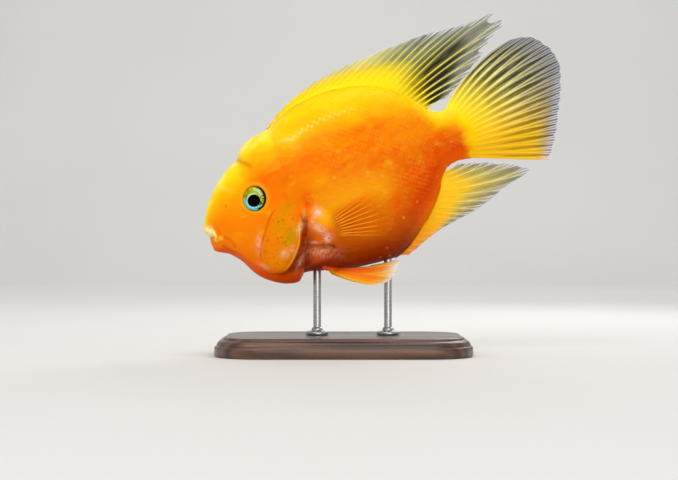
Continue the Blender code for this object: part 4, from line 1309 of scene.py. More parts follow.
def acrossRays(rays, x):
    # the fin's surface at any place between its rays
    step = np.diff(rays, axis=0)
    slope = np.empty_like(rays)
    slope[0], slope[-1] = step[0], step[-1]
    product = step[:-1] * step[1:]
    total = np.where(np.abs(step[:-1] + step[1:]) < 1e-9, 1.0, step[:-1] + step[1:])
    slope[1:-1] = np.where(product > 0, 2 * product / total, 0)
    i = np.clip(np.floor(x).astype(int), 0, len(rays) - 2)
    t = (x - i)[:, None, None]
    ends = rays[i] * (1 + 2 * t) * (1 - t) ** 2 + rays[i + 1] * t * t * (3 - 2 * t)
    return ends + slope[i] * t * (1 - t) ** 2 - slope[i + 1] * t * t * (1 - t)


def rayLines(x, t, look, spines):
    # distance to the nearest branch of a ray, as a share of the gap between rays
    parts = np.where(x < spines - 0.5, 2.0, look["branchFrom"])
    fork = look["branchReach"] * np.clip((t - parts) / (1 - look["branchFrom"]), 0, 1) ** 0.8
    second = 0.42 * look["branchReach"] * np.clip((t - parts - 0.3) / 0.4, 0, 1)
    near = np.abs(x - np.round(x))
    return np.minimum(np.abs(near - fork - second), np.abs(near - fork + second))


finFilm = {
    "gather": 0.07,  # how much closer together the columns stand near the rays
    "hair": 0.35,  # of the edge
    "puff": 0.18,  # how far the film bellies out between two rays
}


def makeFin(name, rays, look, finish, node, slot, spines=0):
    # rays has fine points from a little inside the body (t < 0) to the tips (t = 1)
    draws = np.random.default_rng(len(name) * 7 + spines)
    count = len(rays)
    columns = (count - 1) * look["perGap"] + 1
    x = np.linspace(0, count - 1, columns)
    x = x - finFilm["gather"] * np.sin(2 * np.pi * x)
    fineT = look["fineT"]
    sheet = acrossRays(rays, x)
    sizes = np.linalg.norm(np.diff(sheet[:, fineT >= 0], axis=1), axis=2).sum(axis=1)
    near = np.abs(x - np.round(x))
    gap = np.floor(x + 1e-9).astype(int)
    uneven = draws.uniform(0.55, 1.5, count + 1)
    notch = look["notch"] * uneven[np.clip(gap, 0, count)] * np.sin(np.pi * (x - gap)) ** 2
    for low, high, deep in look["fray"]:
        # the film is torn back between the rays, and less far between a ray's branches
        torn = smooth(low - 0.6, low + 0.6, x) * smooth(high + 0.6, high - 0.6, x)
        tear = draws.uniform(0.5, 1.0, count + 1)[np.clip(gap, 0, count)]
        cut = (1 - hump(near - look["branchReach"], 0.1)) * (0.4 + 0.6 * smooth(0.2, 0.36, near))
        notch += torn * deep * tear * cut
    hairs = np.interp(x * 5, np.arange(count * 5 + 6), draws.uniform(-1, 1, count * 5 + 6))
    end = 1 - (notch + finFilm["hair"] * hairs * (x > spines)) / np.maximum(sizes, 4)
    end[[0, -1]] = 1 - 0.2 / sizes[[0, -1]]
    rows = look["rows"]
    share = np.linspace(0, 1, rows)
    t = fineT[0] + (end[:, None] - fineT[0]) * share[None, :]
    middle = np.empty((columns, rows, 3))
    for i in range(columns):
        for axis in range(3):
            middle[i, :, axis] = np.interp(t[i], fineT, sheet[i, :, axis])
    acrossWay = np.gradient(middle, axis=0)
    normal = np.cross(np.gradient(middle, axis=1), acrossWay)
    normal /= np.linalg.norm(normal, axis=2, keepdims=True)
    gapWidth = np.linalg.norm(acrossWay, axis=2) / np.gradient(x)[:, None]
    grown = np.clip(t, 0, 1)
    lines = rayLines(x[:, None], grown, look, spines) * gapWidth
    wide = look["ridgeWidth"][0] + (look["ridgeWidth"][1] - look["ridgeWidth"][0]) * grown
    ray = hump(lines, wide)
    rootHalf, edgeHalf, thinning = look["build"]
    half = edgeHalf + (rootHalf - edgeHalf) * (1 - grown) ** thinning
    if look.get("stem"):
        span = np.linspace(-1, 1, columns)[:, None]
        half = (
            edgeHalf
            + (0.5 + (rootHalf - 0.5) * np.sqrt(1 - span ** 2) - edgeHalf) * (1 - grown) ** thinning
        )
    ridge = look["ridge"] * smooth(0.0, look.get("ridgeFrom", 0.02), grown)
    half = half + ridge * ray * (1 - 0.62 * grown) * smooth(1.0, 0.93, share)[None, :]
    half[[0, -1]] = np.minimum(half[[0, -1]], edgeHalf + 0.3)
    ripple = (
        look["ripple"] * grown ** 2
        * (np.sin(x * 1.9 + 2.2)[:, None] * 0.5 + 0.5 * np.sin(x[:, None] * 0.83 + grown * 5))
    )
    puff = finFilm["puff"] * smooth(0.05, 0.4, grown) * np.sin(np.pi * (x - gap))[:, None] ** 2
    middle += normal * (ripple + puff)[..., None]
    offset = normal * half[..., None]
    points = np.concatenate([(middle + offset).reshape(-1, 3), (middle - offset).reshape(-1, 3)])
    far = columns * rows
    faces = []
    for i in range(columns - 1):
        for j in range(rows - 1):
            a, b = i * rows + j, (i + 1) * rows + j
            faces.append((a, a + 1, b + 1, b))
            faces.append((far + a, far + b, far + b + 1, far + a + 1))
    rim = [i * rows for i in range(columns)] + [(columns - 1) * rows + j for j in range(1, rows)]
    rim += [i * rows + rows - 1 for i in range(columns - 2, -1, -1)] + list(range(rows - 2, 0, -1))
    for a, b in zip(rim, rim[1:] + rim[:1]):
        faces.append((a, b, far + b, far + a))
    piece = addMesh(name, toDisplay(points), faces, sharp=70)
    mesh = piece.data
    for label, values in (
        ("rayAt", np.repeat(x, rows)), ("reach", t), ("gap", gapWidth),
        ("margin", (end[:, None] - t) * sizes[:, None]), ("span", np.repeat(x / (count - 1), rows)),
    ):
        setValues(mesh, label, np.concatenate([np.ravel(values)] * 2))
    mesh.materials.append(finish)
    handOver(piece, slot, node)


def fineShares(sink):
    return np.concatenate([np.linspace(-sink, 0, 7)[:-1], np.linspace(0, 1, 90)])


def makeUnpairedFins(finishes):
    for name, edge, out in (("dorsal", back, 0.3), ("anal", belly, -0.3)):
        look = finSheets[name]
        look["fineT"] = fineShares(0.1)
        spiny = edgeRoots(edge, *look["spineRoots"], look["spines"], out)
        soft = edgeRoots(edge, *look["softRoots"], len(look["softTips"]), out)
        tips = np.concatenate([spread(look["tips"], look["spines"]), look["softTips"]])
        rays = flatRays(np.concatenate([spiny, soft]), tips, look, look["fineT"])
        makeFin(
            f"{name}_fin_sheet", rays, look, finishes[name], f"{name}_fin", "fin", look["spines"],
        )
    look = finSheets["tail"]
    look["fineT"] = fineShares(0.05)
    look["stem"] = True
    length = fishBody["length"]
    heights = np.linspace(float(back(length)) - 0.3, float(belly(length)) + 0.3, look["rays"])
    # the uppermost rays spring from the stem's back, a little further forwards
    roots = np.stack([length + 0.3 - 4.4 * np.linspace(1, 0, look["rays"]) ** 4, heights], axis=1)
    rays = flatRays(roots, spread(look["tips"], look["rays"]), look, look["fineT"])
    makeFin("tail_fin_sheet", rays, look, finishes["tail"], "tail_fin", "fin")


def makePairedFins(finishes):
    look = finSheets["pectoral"]
    look["fineT"] = t = fineShares(0.06)
    grown = np.clip(t, 0, 1)
    for label, side in (("left", -1), ("right", 1)):
        clear = (
            0.3 + 0.26 + 0.94 * (1 - grown) ** 3 + 0.25 * grown
            + look["lifts"][label] * grown ** 1.6 + 0.36
        )
        clear = clear - 2.2 * smooth(0.10, -0.04, t)
        rays = []
        roots, tips = (spread(look[ends], look["rays"]) for ends in ("roots", "tips"))
        for root, tip in zip(roots, tips):
            line = bent(root, (root + tip) / 2, tip, t[:, None])
            rays.append(onFlank(line[:, 0], line[:, 1], side, clear)[0])
        makeFin(
            f"pectoral_sheet_{label}", np.array(rays), look, finishes["pectoral"],
            f"pectoral_fin_{label}", "pectoral_fin",
        )
    look = finSheets["pelvic"]
    look["fineT"] = t = fineShares(0.06)
    grown = np.clip(t, 0, 1)
    for label, side in (("left", -1), ("right", 1)):
        rays = []
        for (s, aside), tip in zip(spread(look["roots"], len(look["tips"])), look["tips"]):
            root = np.array([s, side * aside, underBelly(s, aside) - 0.9])
            tip = np.array([tip[0], side * tip[1], tip[2]])
            knee = (root + tip) / 2 + np.array(look["bend"]) * (1, side, 1)
            line = bent(root, knee, tip, t[:, None])
            clear = 0.3 + 0.27 + 0.83 * (1 - grown) ** 2 + 0.4
            clear = clear - 2.4 * smooth(0.12, -0.05, t)
            line[:, 2] = np.minimum(line[:, 2], underBelly(line[:, 0], line[:, 1]) - clear)
            line[:, 2] = np.where(t < 0.12, underBelly(line[:, 0], line[:, 1]) - clear, line[:, 2])
            rays.append(line)
        makeFin(
            f"pelvic_sheet_{label}", np.array(rays), look, finishes["pelvic"],
            f"pelvic_fin_{label}", "pelvic_fin",
        )


finLooks = {
    "dorsal": {
        "flesh": [
            (0.0, (252, 214, 4)), (0.35, (253, 220, 3)), (0.75, (252, 218, 6)),
            (1.0, (252, 206, 10)),
        ],
        "rays": [
            (0.0, (252, 222, 10)), (0.3, (249, 233, 76)), (0.6, (230, 226, 142)),
            (0.85, (206, 204, 172)), (1.0, (222, 218, 230)),
        ],
        "web": [
            (0.0, (252, 204, 4)), (0.28, (200, 182, 44)), (0.52, (122, 124, 68)),
            (0.8, (104, 106, 88)), (1.0, (128, 128, 116)),
        ],
        "solidUntil": [
            (0.0, 0.86), (0.2, 0.62), (0.4, 0.45), (0.6, 0.26), (0.72, 0.08), (0.86, -0.04),
            (1.0, -0.1),
        ],
        "tip": (226, 222, 236), "alpha": 0.94, "spines": 16, "between": 0.26, "blend": (0.18, 0.26),
        "rearDark": 0.4, "tipReach": 7.0, "threads": 0.35,
        "stains": [(0.64, 0.84, 0.8, 0.42, (30, 22, 6)), (0.6, 0.4, 0.3, 0.55, (226, 216, 116))],
        "gaps": [(0.68, 0.84, 0.82, 0.44, (16, 10, 4))],
    },
    "anal": {
        "flesh": [
            (0.0, (253, 136, 4)), (0.25, (253, 168, 5)), (0.6, (252, 196, 6)),
            (1.0, (252, 208, 30)),
        ],
        "rays": [
            (0.0, (253, 190, 6)), (0.3, (252, 220, 64)), (0.6, (238, 222, 132)),
            (0.85, (214, 206, 166)), (1.0, (220, 214, 222)),
        ],
        "web": [
            (0.0, (253, 170, 4)), (0.3, (232, 186, 34)), (0.55, (176, 158, 76)),
            (0.85, (140, 132, 98)), (1.0, (146, 140, 134)),
        ],
        "solidUntil": [(0.0, 1.1), (0.2, 0.96), (0.4, 0.62), (0.6, 0.34), (1.0, 0.1)],
        "tip": (226, 222, 236), "alpha": 0.94, "spines": 8, "between": 0.28, "threads": 0.4,
        "tipReach": 6.0,
    },
    "tail": {
        "flesh": [
            (0.0, (252, 230, 34)), (0.4, (253, 214, 6)), (0.66, (250, 198, 2)),
            (0.84, (238, 178, 2)), (1.0, (240, 186, 0)),
        ],
        "rays": [
            (0.0, (253, 218, 10)), (0.25, (253, 240, 120)), (0.52, (240, 234, 150)),
            (0.78, (172, 168, 130)), (1.0, (160, 160, 166)),
        ],
        "web": [
            (0.0, (250, 200, 5)), (0.22, (140, 112, 6)), (0.45, (64, 56, 12)), (0.72, (54, 50, 36)),
            (1.0, (78, 78, 84)),
        ],
        "solidUntil": [
            (0.0, 0.16), (0.3, 0.24), (0.45, 0.36), (0.6, 0.48), (0.75, 0.6), (0.93, 0.82),
            (1.0, 1.1),
        ],
        "tip": (214, 216, 232), "alpha": 0.97, "spines": 0, "between": 0.26, "blend": (0.26, 0.36),
        "veins": 0.7, "stains": [(0.34, 0.62, 1.04, 0.7, (130, 98, 10))], "gilded": (0.5, 0.82),
        "gilt": (244, 200, 24), "threads": 0.36, "tipReach": 6.5, "tipSpan": (0.36, 0.58),
    },
    "pectoral": {
        "flesh": [(0.0, (252, 160, 10)), (1.0, (246, 130, 8))],
        "rays": [
            (0.0, (255, 184, 40)), (0.3, (255, 170, 20)), (0.7, (252, 150, 8)),
            (1.0, (250, 144, 6)),
        ],
        "web": [
            (0.0, (206, 80, 0)), (0.3, (218, 92, 0)), (0.6, (238, 114, 0)), (1.0, (250, 134, 2)),
        ],
        "solidUntil": [(0.0, -0.3), (1.0, -0.3)], "tip": (250, 140, 4), "alpha": 0.52, "spines": 0,
        "between": 0.12, "rayClear": 0.16, "gloss": 0.03,
        "fadeOut": {"root": (0.1, 0.26), "edge": (0.06, 0.22), "tip": (0.46, 0.94, 0.15)},
    },
    "pelvic": {
        "flesh": [
            (0.0, (255, 186, 20)), (0.22, (252, 140, 10)), (0.5, (242, 88, 4)), (1.0, (232, 64, 2)),
        ],
        "rays": [
            (0.0, (232, 104, 6)), (0.3, (252, 150, 10)), (0.72, (252, 176, 30)),
            (0.9, (248, 202, 100)), (1.0, (238, 226, 214)),
        ],
        "web": [
            (0.0, (206, 62, 2)), (0.4, (236, 92, 3)), (0.7, (238, 116, 8)), (0.88, (236, 146, 40)),
            (1.0, (224, 204, 184)),
        ],
        "solidUntil": [(0.0, 1.1), (0.3, 0.66), (0.5, 0.5), (1.0, 0.36)], "tip": (240, 232, 226),
        "alpha": 0.95, "spines": 0, "between": 0.3, "rootTone": (208, 70, 4),
        "stains": [(0.3, 0.5, 0.76, 0.94, (226, 218, 212))],
    },
}


def finFinish(name):
    look, shape = finLooks[name], finSheets[name]
    finish, tree, shader = newFinish(f"{name}_fin_film")
    rayAt, reach, gapWidth, span = (reads(tree, part) for part in ("rayAt", "reach", "gap", "span"))
    wander = (grain(tree, 2.2, 2.0) - 0.5) * 0.05
    near = maths("PINGPONG", rayAt + wander, 0.5)
    grown = mapped(reach, shape["branchFrom"], 1.0, 0.0, shape["branchReach"])
    if look["spines"]:
        soft = mapped(rayAt, look["spines"] - 0.9, look["spines"] - 0.1)
        grown *= soft
    second = mapped(reach, shape["branchFrom"] + 0.3, 1.0) * (0.42 * shape["branchReach"])
    if look["spines"]:
        second *= soft
    offset = near - grown
    lines = maths("MINIMUM", abs(offset + second), abs(offset - second))
    distance = lines * gapWidth
    narrow, wide = shape["ridgeWidth"][1], shape["ridgeWidth"][0]
    ray = mapped(
        distance, mapped(reach, 0.0, 1.0, wide * 1.25, narrow * 1.35),
        mapped(reach, 0.0, 1.0, wide * 0.3, narrow * 0.35),
    )
    patchy = grain(tree, 6.0, 4.0)
    shifted = reach + (patchy - 0.5) * 0.16
    flesh = ramped(span, look["flesh"])
    if "rootTone" in look:
        flesh = mixed(mapped(shifted, 0.34, 0.04), flesh, paint(*look["rootTone"]))
    rayColour = ramped(shifted, look["rays"])
    webPlace = shifted + mapped(span, 0.55, 0.95, 0.0, look.get("rearDark", 0.0))
    webColour = ramped(webPlace, look["web"])
    for spanFrom, spanTo, reachFrom, reachTo, tone in look.get("stains", []):
        # places, as shares across the fin and out to its edge, where the film is another colour
        stain = mapped(span, spanFrom, spanTo) * mapped(shifted, reachFrom, reachTo)
        webColour = mixed(stain, webColour, paint(*tone))
    joints = maths("PINGPONG", reach * 46.0, 0.5)
    rayColour = mixed(mapped(joints, 0.1, 0.0, 0.0, 0.25), rayColour, webColour)
    if "gilded" in look:
        gilded = mapped(span, *look["gilded"]) * mapped(shifted, 1.0, 0.7)
        rayColour = mixed(gilded, rayColour, paint(*look["gilt"]))
    along = tree.nodes.new("ShaderNodeCombineXYZ")
    dial(along, {"X": rayAt * 0.009, "Y": reach * 0.005})
    threads = grain(tree, 1.0, 3.0, along.outputs[0])
    # between the branches of a ray the film is paler than between two rays
    uneven = tree.nodes.new("ShaderNodeTexNoise")
    uneven.noise_dimensions = "1D"
    dial(uneven, {"Scale": 0.9, "W": rayAt})
    bundle = mapped(near, 0.44, 0.14) * mapped(Reading(uneven.outputs["Fac"]), 0.3, 0.7, 0.4, 1.6)
    bundle *= look["between"]
    webColour = mixed(bundle, webColour, rayColour)
    webColour = mixed(
        mapped(threads, 0.48, 0.7, 0.0, look.get("threads", 0.5)), webColour, rayColour,
    )
    for spanFrom, spanTo, reachFrom, reachTo, tone in look.get("gaps", []):
        # and here only the gaps between the rays
        gaps = mapped(span, spanFrom, spanTo) * mapped(shifted, reachFrom, reachTo)
        gaps *= mapped(near, 0.1, 0.3, 0.3, 0.9)
        webColour = mixed(gaps, webColour, paint(*tone))
    blade = mixed(ray, webColour, rayColour)
    until = ramped(
        span, [(place, (share, share, share, 1.0)) for place, share in look["solidUntil"]],
    )
    soften = look.get("blend", (0.16, 0.22))
    solid = mapped(shifted - until, -soften[0], soften[1], 1.0, 0.0)
    rayShows = ray * mapped(reach, 0.06, 0.34, 0.0, 0.5)
    raySoft = solid * (1.0 - rayShows)
    if "veins" in look:
        # the film's own colour shows between the rays where they leave the flesh
        between = mapped(near, 0.24, 0.46) * mapped(reach, 0.2, 0.55, 0.0, look["veins"])
        raySoft *= 1.0 - between
    colour = mixed(raySoft, blade, flesh)
    margin = reads(tree, "margin")
    rim = maths(
        "MAXIMUM", mapped(margin, 0.9, 0.1, 0.0, 0.7),
        ray * mapped(margin, look.get("tipReach", 4.0), 0.5),
    )
    if "tipSpan" in look:
        rim *= mapped(span, *look["tipSpan"], 0.2, 1.0)
    colour = mixed(rim, colour, paint(*look["tip"]))
    plug(colour, shader.inputs["Base Color"])
    clear = mapped(ray, 0.0, 1.0, 1 - look["alpha"], look.get("rayClear", 0.04))
    clear *= 1.0 - solid
    filled = 1.0 - clear
    fade = look.get("fadeOut")
    if fade:
        inwards = maths("PINGPONG", span, 0.5)
        filled *= mapped(reach, *fade["root"])
        filled *= mapped(inwards, *fade["edge"], 0.05, 1.0)
        filled *= mapped(reach, fade["tip"][0], fade["tip"][1], 1.0, fade["tip"][2])
    dial(shader, {
        "Alpha": filled, "Roughness": mapped(grain(tree, 2.0, 3.0), 0.3, 0.7, 0.32, 0.48),
        "Specular IOR Level": look.get("gloss", 0.1), "Coat Weight": look.get("gloss", 0.1) * 0.3,
        "Coat Roughness": 0.18,
    })
    bumped(shader, ray + threads * 0.5, 0.12, 0.6)
    return finish


# Eyes

iris = {
    "pupilAt": (0.0, -1.25), "pupilSize": (3.55, 3.15), "pupilDip": 0.2,
    "rings": 44, "spokes": 72, "mapSize": 14.0, "radius": 6.3,
}


def makeEyes(finish):
    for label, side in (("left", -1), ("right", 1)):
        rim, normal = onFlank(*eyeball["at"], side)
        middle = rim + normal * (eyeball["proud"] - eyeball["depth"])
        alongAxis = np.array([1.0, 0, 0]) - normal * normal[0]
        alongAxis /= np.linalg.norm(alongAxis)
        upAxis = np.array([0, 0, 1.0]) - normal * normal[2]
        upAxis -= alongAxis * (upAxis @ alongAxis)
        upAxis /= np.linalg.norm(upAxis)
        turns = np.linspace(0, 2 * math.pi, iris["spokes"], endpoint=False)
        flat, points = [], []
        for tip in np.linspace(0, math.pi, iris["rings"] + 2)[1:-1]:
            a = eyeball["radius"] * math.sin(tip) * np.cos(turns)
            b = eyeball["radius"] * math.sin(tip) * np.sin(turns)
            c = np.full(len(turns), eyeball["depth"] * math.cos(tip))
            pupil = np.hypot(
                (a - iris["pupilAt"][0]) / iris["pupilSize"][0],
                (b - iris["pupilAt"][1]) / iris["pupilSize"][1],
            )
            if math.cos(tip) > 0:
                c += 0.10 * hump(pupil - 1.08, 0.12) - iris["pupilDip"] * smooth(1.02, 0.92, pupil)
            flat.append(np.stack([a, b], axis=1))
            points.append(
                middle + a[:, None] * alongAxis + b[:, None] * upAxis + c[:, None] * normal
            )
        flat = np.concatenate(flat + [[[0, 0], [0, 0]]])
        front = middle + normal * (eyeball["depth"] - iris["pupilDip"])
        points = np.concatenate(points + [[front, middle - normal * eyeball["depth"]]])
        spokes = iris["spokes"]
        faces = ringFaces(iris["rings"], spokes)
        last = (iris["rings"] - 1) * spokes
        for k in range(spokes):
            faces.append((k, (k + 1) % spokes, len(points) - 2))
            faces.append((last + k, last + (k + 1) % spokes, len(points) - 1))
        piece = addMesh(f"eyeball_{label}", toDisplay(points), faces)
        setMap(piece.data, "irisMap", flat / iris["mapSize"] + 0.5)
        piece.data.materials.append(finish)
        handOver(piece, "eye", f"eye_{label}")


def eyeFinish():
    finish, tree, shader = newFinish("eye_glaze")
    place = tree.nodes.new("ShaderNodeUVMap")
    place.uv_map = "irisMap"
    parts = tree.nodes.new("ShaderNodeSeparateXYZ")
    plug(place.outputs[0], parts.inputs[0])
    a, b = ((Reading(side) - 0.5) * iris["mapSize"] for side in parts.outputs[:2])

    def radius(centre, size):
        across = (a - centre[0]) / size[0]
        up = (b - centre[1]) / size[1]
        return maths("SQRT", across * across + up * up)

    pupil = radius(iris["pupilAt"], iris["pupilSize"])
    outer = radius((0.0, 0.0), (iris["radius"], iris["radius"]))
    specks = grain(tree, 0.75, 3.0, place.outputs[0])
    specks.node.inputs["Scale"].default_value = 16
    glow = grain(tree, 1.0, 2.0, place.outputs[0])
    glow.node.inputs["Scale"].default_value = 6
    # olive above and behind, turquoise below and in front, with a green gleam behind
    tilt = b * 0.14 + a * 0.13
    tilt += (glow - 0.5) * 0.6
    base = ramped(
        tilt + 0.75,
        [
            (0.0, (96, 214, 222)), (0.24, (112, 222, 220)), (0.4, (120, 190, 120)),
            (0.54, (150, 166, 26)), (1.0, (176, 172, 12)),
        ],
    )
    gleam = mapped(abs(outer - 0.76), 0.16, 0.04)
    gleam *= mapped(a, 1.0, 2.2)
    gleam *= mapped(b, -1.8, -0.4)
    gleam *= mapped(glow, 0.36, 0.54, 0.1, 0.8)
    base = mixed(gleam, base, paint(170, 232, 176))
    ring = mapped(abs(pupil - 1.11), 0.14, 0.03)
    ring *= mapped(a + b * -0.3, 2.6, 0.4, 0.1, 0.9)
    base = mixed(ring, base, paint(180, 238, 236))
    dark = mapped(specks, 0.5, 0.56)
    rightSide = mapped(a - b * 0.9, 2.2, 5.6, 0.1, 1.0)
    base = mixed(dark * rightSide, base, paint(40, 44, 4))
    amber = mapped(glow, 0.44, 0.6) * mapped(b - a, 2.6, 6.4)
    base = mixed(amber * 0.7, base, paint(140, 104, 8))
    rimAt = outer + maths("MAXIMUM", a, 0.0) * 0.016
    rimTone = mixed(mapped(b - a, 1.0, 4.0), paint(12, 30, 10), paint(150, 96, 4))
    base = mixed(mapped(rimAt, 0.9, 1.0), base, rimTone)
    base = mixed(mapped(pupil, 1.03, 0.94), base, paint(1, 1, 4))
    dial(shader, {
        "Base Color": base, "Roughness": mapped(specks, 0.3, 0.7, 0.14, 0.3),
        "Specular IOR Level": 0.02, "Coat Weight": 0.02, "Coat Roughness": 0.03,
    })
    return finish


# Stand

standLook = {
    "corner": 24.0, "cornerSteps": 16, "rodRadius": 2.0, "footRadius": 6.0, "spokes": 48,
}


def makeBase(finish):
    low, high = (np.array(corner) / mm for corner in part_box("stand_base"))
    height = high[2] - low[2]
    middle = (low + high)[:2] / 2
    reach = (high - low)[:2] / 2
    corner = standLook["corner"]
    quarter = np.linspace(0, math.pi / 2, standLook["cornerSteps"] + 1)
    outline, away = [], []
    for k, (sx, sy) in enumerate(((1, 1), (-1, 1), (-1, -1), (1, -1))):
        turns = quarter + k * math.pi / 2
        centre = middle + (reach - corner) * (sx, sy)
        for turn in turns:
            way = np.array([math.cos(turn), math.sin(turn)])
            outline.append(centre + way * corner)
            away.append(way)
    outline, away = np.array(outline), np.array(away)
    # from the middle of the underside out, up the edge with its cove, and in over the top
    profile = [(24.0, 0.0), (3.2, 0.0), (1.2, 0.0), (0.35, 0.3), (0.0, 1.0)]
    profile += [(0.0, 4.4), (0.1, 4.9), (0.5, 5.3), (1.0, 5.45)]
    for turn in np.linspace(0, math.pi / 2, 7):
        profile.append((1.2 + 2.6 * (1 - math.cos(turn)), 5.6 + 2.8 * math.sin(turn)))
    profile += [
        (4.4, height - 1.35), (4.6, height - 1.1), (4.9, height - 0.5), (5.5, height - 0.12),
        (6.4, height), (9.0, height), (23.0, height),
    ]
    points, count = [], len(outline)
    for inset, z in profile:
        ring = outline - away * inset
        points.append(np.column_stack([ring, np.full(count, low[2] + z)]))
    points = np.concatenate(points)
    faces = ringFaces(len(profile), count)
    last = (len(profile) - 1) * count
    faces.append(tuple(range(count - 1, -1, -1)))
    faces.append(tuple(range(last, last + count)))
    base = addMesh("stand_base_turned", points * mm, faces, sharp=35)
    base.data.materials.append(finish)
    handOver(base, "stand_base", "stand_base")


def makeRods(finish):
    for label in ("front", "rear"):
        low, high = (np.array(corner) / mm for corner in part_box(f"stand_rod_{label}"))
        middle = (low + high)[:2] / 2
        foot, rod = standLook["footRadius"], standLook["rodRadius"]
        top = high[2] - low[2]
        # up the foot's edge, in over its collar and up the rod
        profile = [
            (0.0, 0.0), (foot - 0.4, 0.0), (foot - 0.1, 0.12), (foot, 0.45), (foot, 1.25),
            (foot - 0.12, 1.5), (foot - 0.45, 1.66), (foot - 1.6, 1.8), (foot - 2.4, 2.0),
            (rod + 1.0, 2.25), (rod + 0.85, 2.7), (rod + 0.85, 3.3), (rod + 0.6, 3.55),
            (rod + 0.12, 3.75), (rod, 4.1), (rod, top * 0.5), (rod, top - 0.9),
            (rod - 0.2, top - 0.35), (rod - 0.7, top), (0.0, top),
        ]
        turns = np.linspace(0, 2 * math.pi, standLook["spokes"], endpoint=False)
        count = len(turns)
        points = [(middle[0], middle[1], low[2])]
        for r, z in profile[1:-1]:
            points += [
                (middle[0] + r * math.cos(t), middle[1] + r * math.sin(t), low[2] + z)
                for t in turns
            ]
        points.append((middle[0], middle[1], low[2] + top))
        faces = [(0, 1 + (k + 1) % count, 1 + k) for k in range(count)]
        faces += ringFaces(len(profile) - 2, count, 1)
        start = 1 + (len(profile) - 3) * count
        faces += [(start + k, start + (k + 1) % count, len(points) - 1) for k in range(count)]
        piece = addMesh(f"stand_rod_turned_{label}", np.array(points) * mm, faces, sharp=40)
        piece.data.materials.append(finish)
        handOver(piece, "stand_rod", f"stand_rod_{label}")


def walnutFinish():
    finish, tree, shader = newFinish("dark_walnut")
    where = placed(tree, {"Scale": (0.12, 1.0, 1.0), "Rotation": (0.04, 0.05, 0.03)})
    sweep, pores = grain(tree, 16.0, 3.0, where), grain(tree, 0.8, 3.0, where)
    rings = tree.nodes.new("ShaderNodeTexWave")
    rings.wave_type = "BANDS"
    rings.bands_direction = "Y"
    dial(rings, {
        "Scale": 55, "Distortion": 7.0, "Detail": 3.0, "Detail Scale": 1.6, "Vector": where,
    })
    growth = Reading(rings.outputs["Fac"])
    colour = ramped(growth, [(0.0, (58, 34, 22)), (0.55, (84, 52, 33)), (1.0, (104, 68, 44))])
    colour = mixed(mapped(sweep, 0.35, 0.7, 0.0, 0.5), colour, paint(64, 38, 26))
    dark = mapped(pores, 0.6, 0.7)
    colour = mixed(dark * 0.6, colour, paint(34, 20, 14))
    dial(shader, {
        "Base Color": colour, "Roughness": mapped(sweep, 0.3, 0.7, 0.3, 0.42), "Coat Weight": 0.3,
        "Coat Roughness": 0.2,
    })
    bumped(shader, growth - dark, 0.05, 0.5)
    return finish


def steelFinish():
    finish, tree, shader = newFinish("brushed_steel")
    lines = grain(tree, 0.6, 3.0, placed(tree, {"Scale": (0.15, 0.15, 3.0)}))
    smudge = grain(tree, 9.0, 2.0)
    colour = ramped(lines, [(0.25, (150, 150, 148)), (0.75, (186, 186, 184))])
    colour = mixed(mapped(smudge, 0.4, 0.7, 0.0, 0.25), colour, paint(140, 138, 134))
    dial(shader, {
        "Base Color": colour, "Metallic": 1.0, "Roughness": mapped(lines, 0.3, 0.7, 0.22, 0.36),
    })
    bumped(shader, lines, 0.02, 0.5)
    return finish


# Studio

studio = {
    "floor": (219, 217, 213),
    "halfWidth": 2.2,
    "sweep": (-1.9, 1.3, 0.6, 2.8),  # the floor's front, where it bends, the bend's radius, top
    "camera": (69.9, -831.6, -6.2),  # from the upper lip, in millimetres
    "lens": 85.0,
    "sensor": 36.0,
    "world": 0.62,
    "lights": [  # name, place, aims at, size, watts, colour
        ("key", (-0.40, -0.70, 0.78), (-0.01, 0.0, 0.09), 0.62, 3.0, (1.0, 0.98, 0.95)),
        ("top", (0.08, 0.02, 0.80), (0.0, 0.0, 0.10), 0.50, 0.4, (1.0, 0.99, 0.97)),
        ("fill", (0.20, -0.85, 0.04), (0.0, 0.0, 0.09), 0.80, 3.6, (1.0, 0.99, 0.98)),
        ("edge", (0.20, 0.45, 0.42), (0.0, 0.0, 0.11), 0.30, 0.9, (1.0, 1.0, 1.0)),
        ("overhead", (0.0, 0.10, 1.30), (0.0, 1.0, 0.25), 0.9, 5.0, (1.0, 1.0, 1.0)),
        ("backdrop", (0.0, 0.90, 1.50), (0.0, 2.0, 0.35), 0.9, 5.5, (1.0, 1.0, 1.0)),
    ],
}


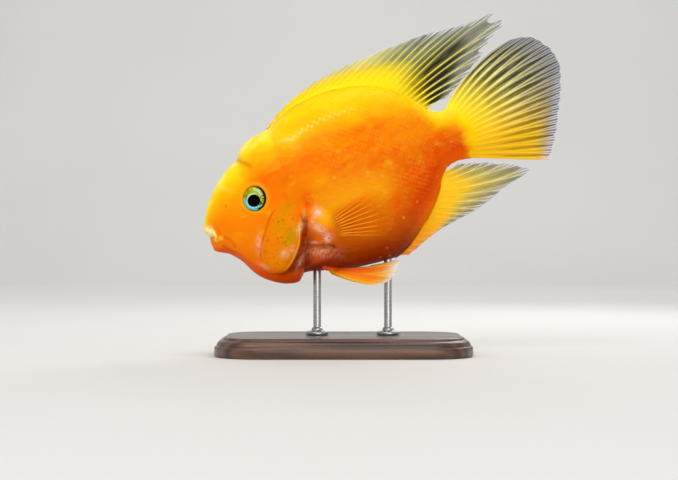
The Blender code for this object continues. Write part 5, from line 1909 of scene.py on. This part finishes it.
def makeStudio():
    # a floor that bends up into a wall
    across = np.linspace(-studio["halfWidth"], studio["halfWidth"], 3)
    front, bend, radius, top = studio["sweep"]
    line = [(front, 0.0), (bend, 0.0)]
    line += [
        (bend + radius * math.sin(t), radius - radius * math.cos(t))
        for t in np.linspace(0.1, math.pi / 2, 14)
    ]
    line += [(bend + radius, top)]
    points = [(x, y, z) for x in across for y, z in line]
    count = len(line)
    faces = [(i * count + j, (i + 1) * count + j, (i + 1) * count + j + 1, i * count + j + 1)
             for i in range(len(across) - 1) for j in range(count - 1)]
    floor = addMesh("studio_floor", np.array(points), faces)
    finish, tree, shader = newFinish("pale_paper")
    tone = ramped(
        grain(tree, 260.0, 2.0),
        [(0.3, studio["floor"]), (0.7, tuple(c - 3 for c in studio["floor"]))],
    )
    dial(shader, {
        "Base Color": tone, "Roughness": mapped(grain(tree, 3.0, 3.0), 0.3, 0.7, 0.8, 0.9),
        "Specular IOR Level": 0.2,
    })
    floor.data.materials.append(finish)
    world = bpy.data.worlds.new("studio_air")
    world.use_nodes = True
    air = world.node_tree.nodes["Background"]
    dial(air, {"Color": (0.95, 0.97, 1.0, 1.0), "Strength": studio["world"]})
    bpy.context.scene.world = world
    for name, place, aim, size, watts, colour in studio["lights"]:
        data = bpy.data.lights.new(f"{name}_light", "AREA")
        data.shape = "DISK"
        data.size = size
        data.energy = watts
        data.color = colour
        lamp = bpy.data.objects.new(f"{name}_light", data)
        lamp.location = place
        lamp.rotation_euler = (Vector(aim) - Vector(place)).to_track_quat("-Z", "Y").to_euler()
        bpy.context.scene.collection.objects.link(lamp)
    data = bpy.data.cameras.new("camera")
    data.lens = studio["lens"]
    data.sensor_width = studio["sensor"]
    data.clip_start = 0.01
    camera = bpy.data.objects.new("camera", data)
    aside, away, up = studio["camera"]
    camera.location = ((lipX + aside) * mm, away * mm, (lipZ + up) * mm)
    camera.rotation_euler = (math.radians(90), 0, 0)
    bpy.context.scene.collection.objects.link(camera)
    bpy.context.scene.camera = camera
    bpy.context.scene.view_settings.view_transform = "Standard"
    print("studio ready")


makeStudio()
makeSkin(skinFinish())
makeScales(scaleFinish())
makeEyes(eyeFinish())
finFinishes = {name: finFinish(name) for name in finLooks}
makeUnpairedFins(finFinishes)
makePairedFins(finFinishes)
makeBase(walnutFinish())
makeRods(steelFinish())
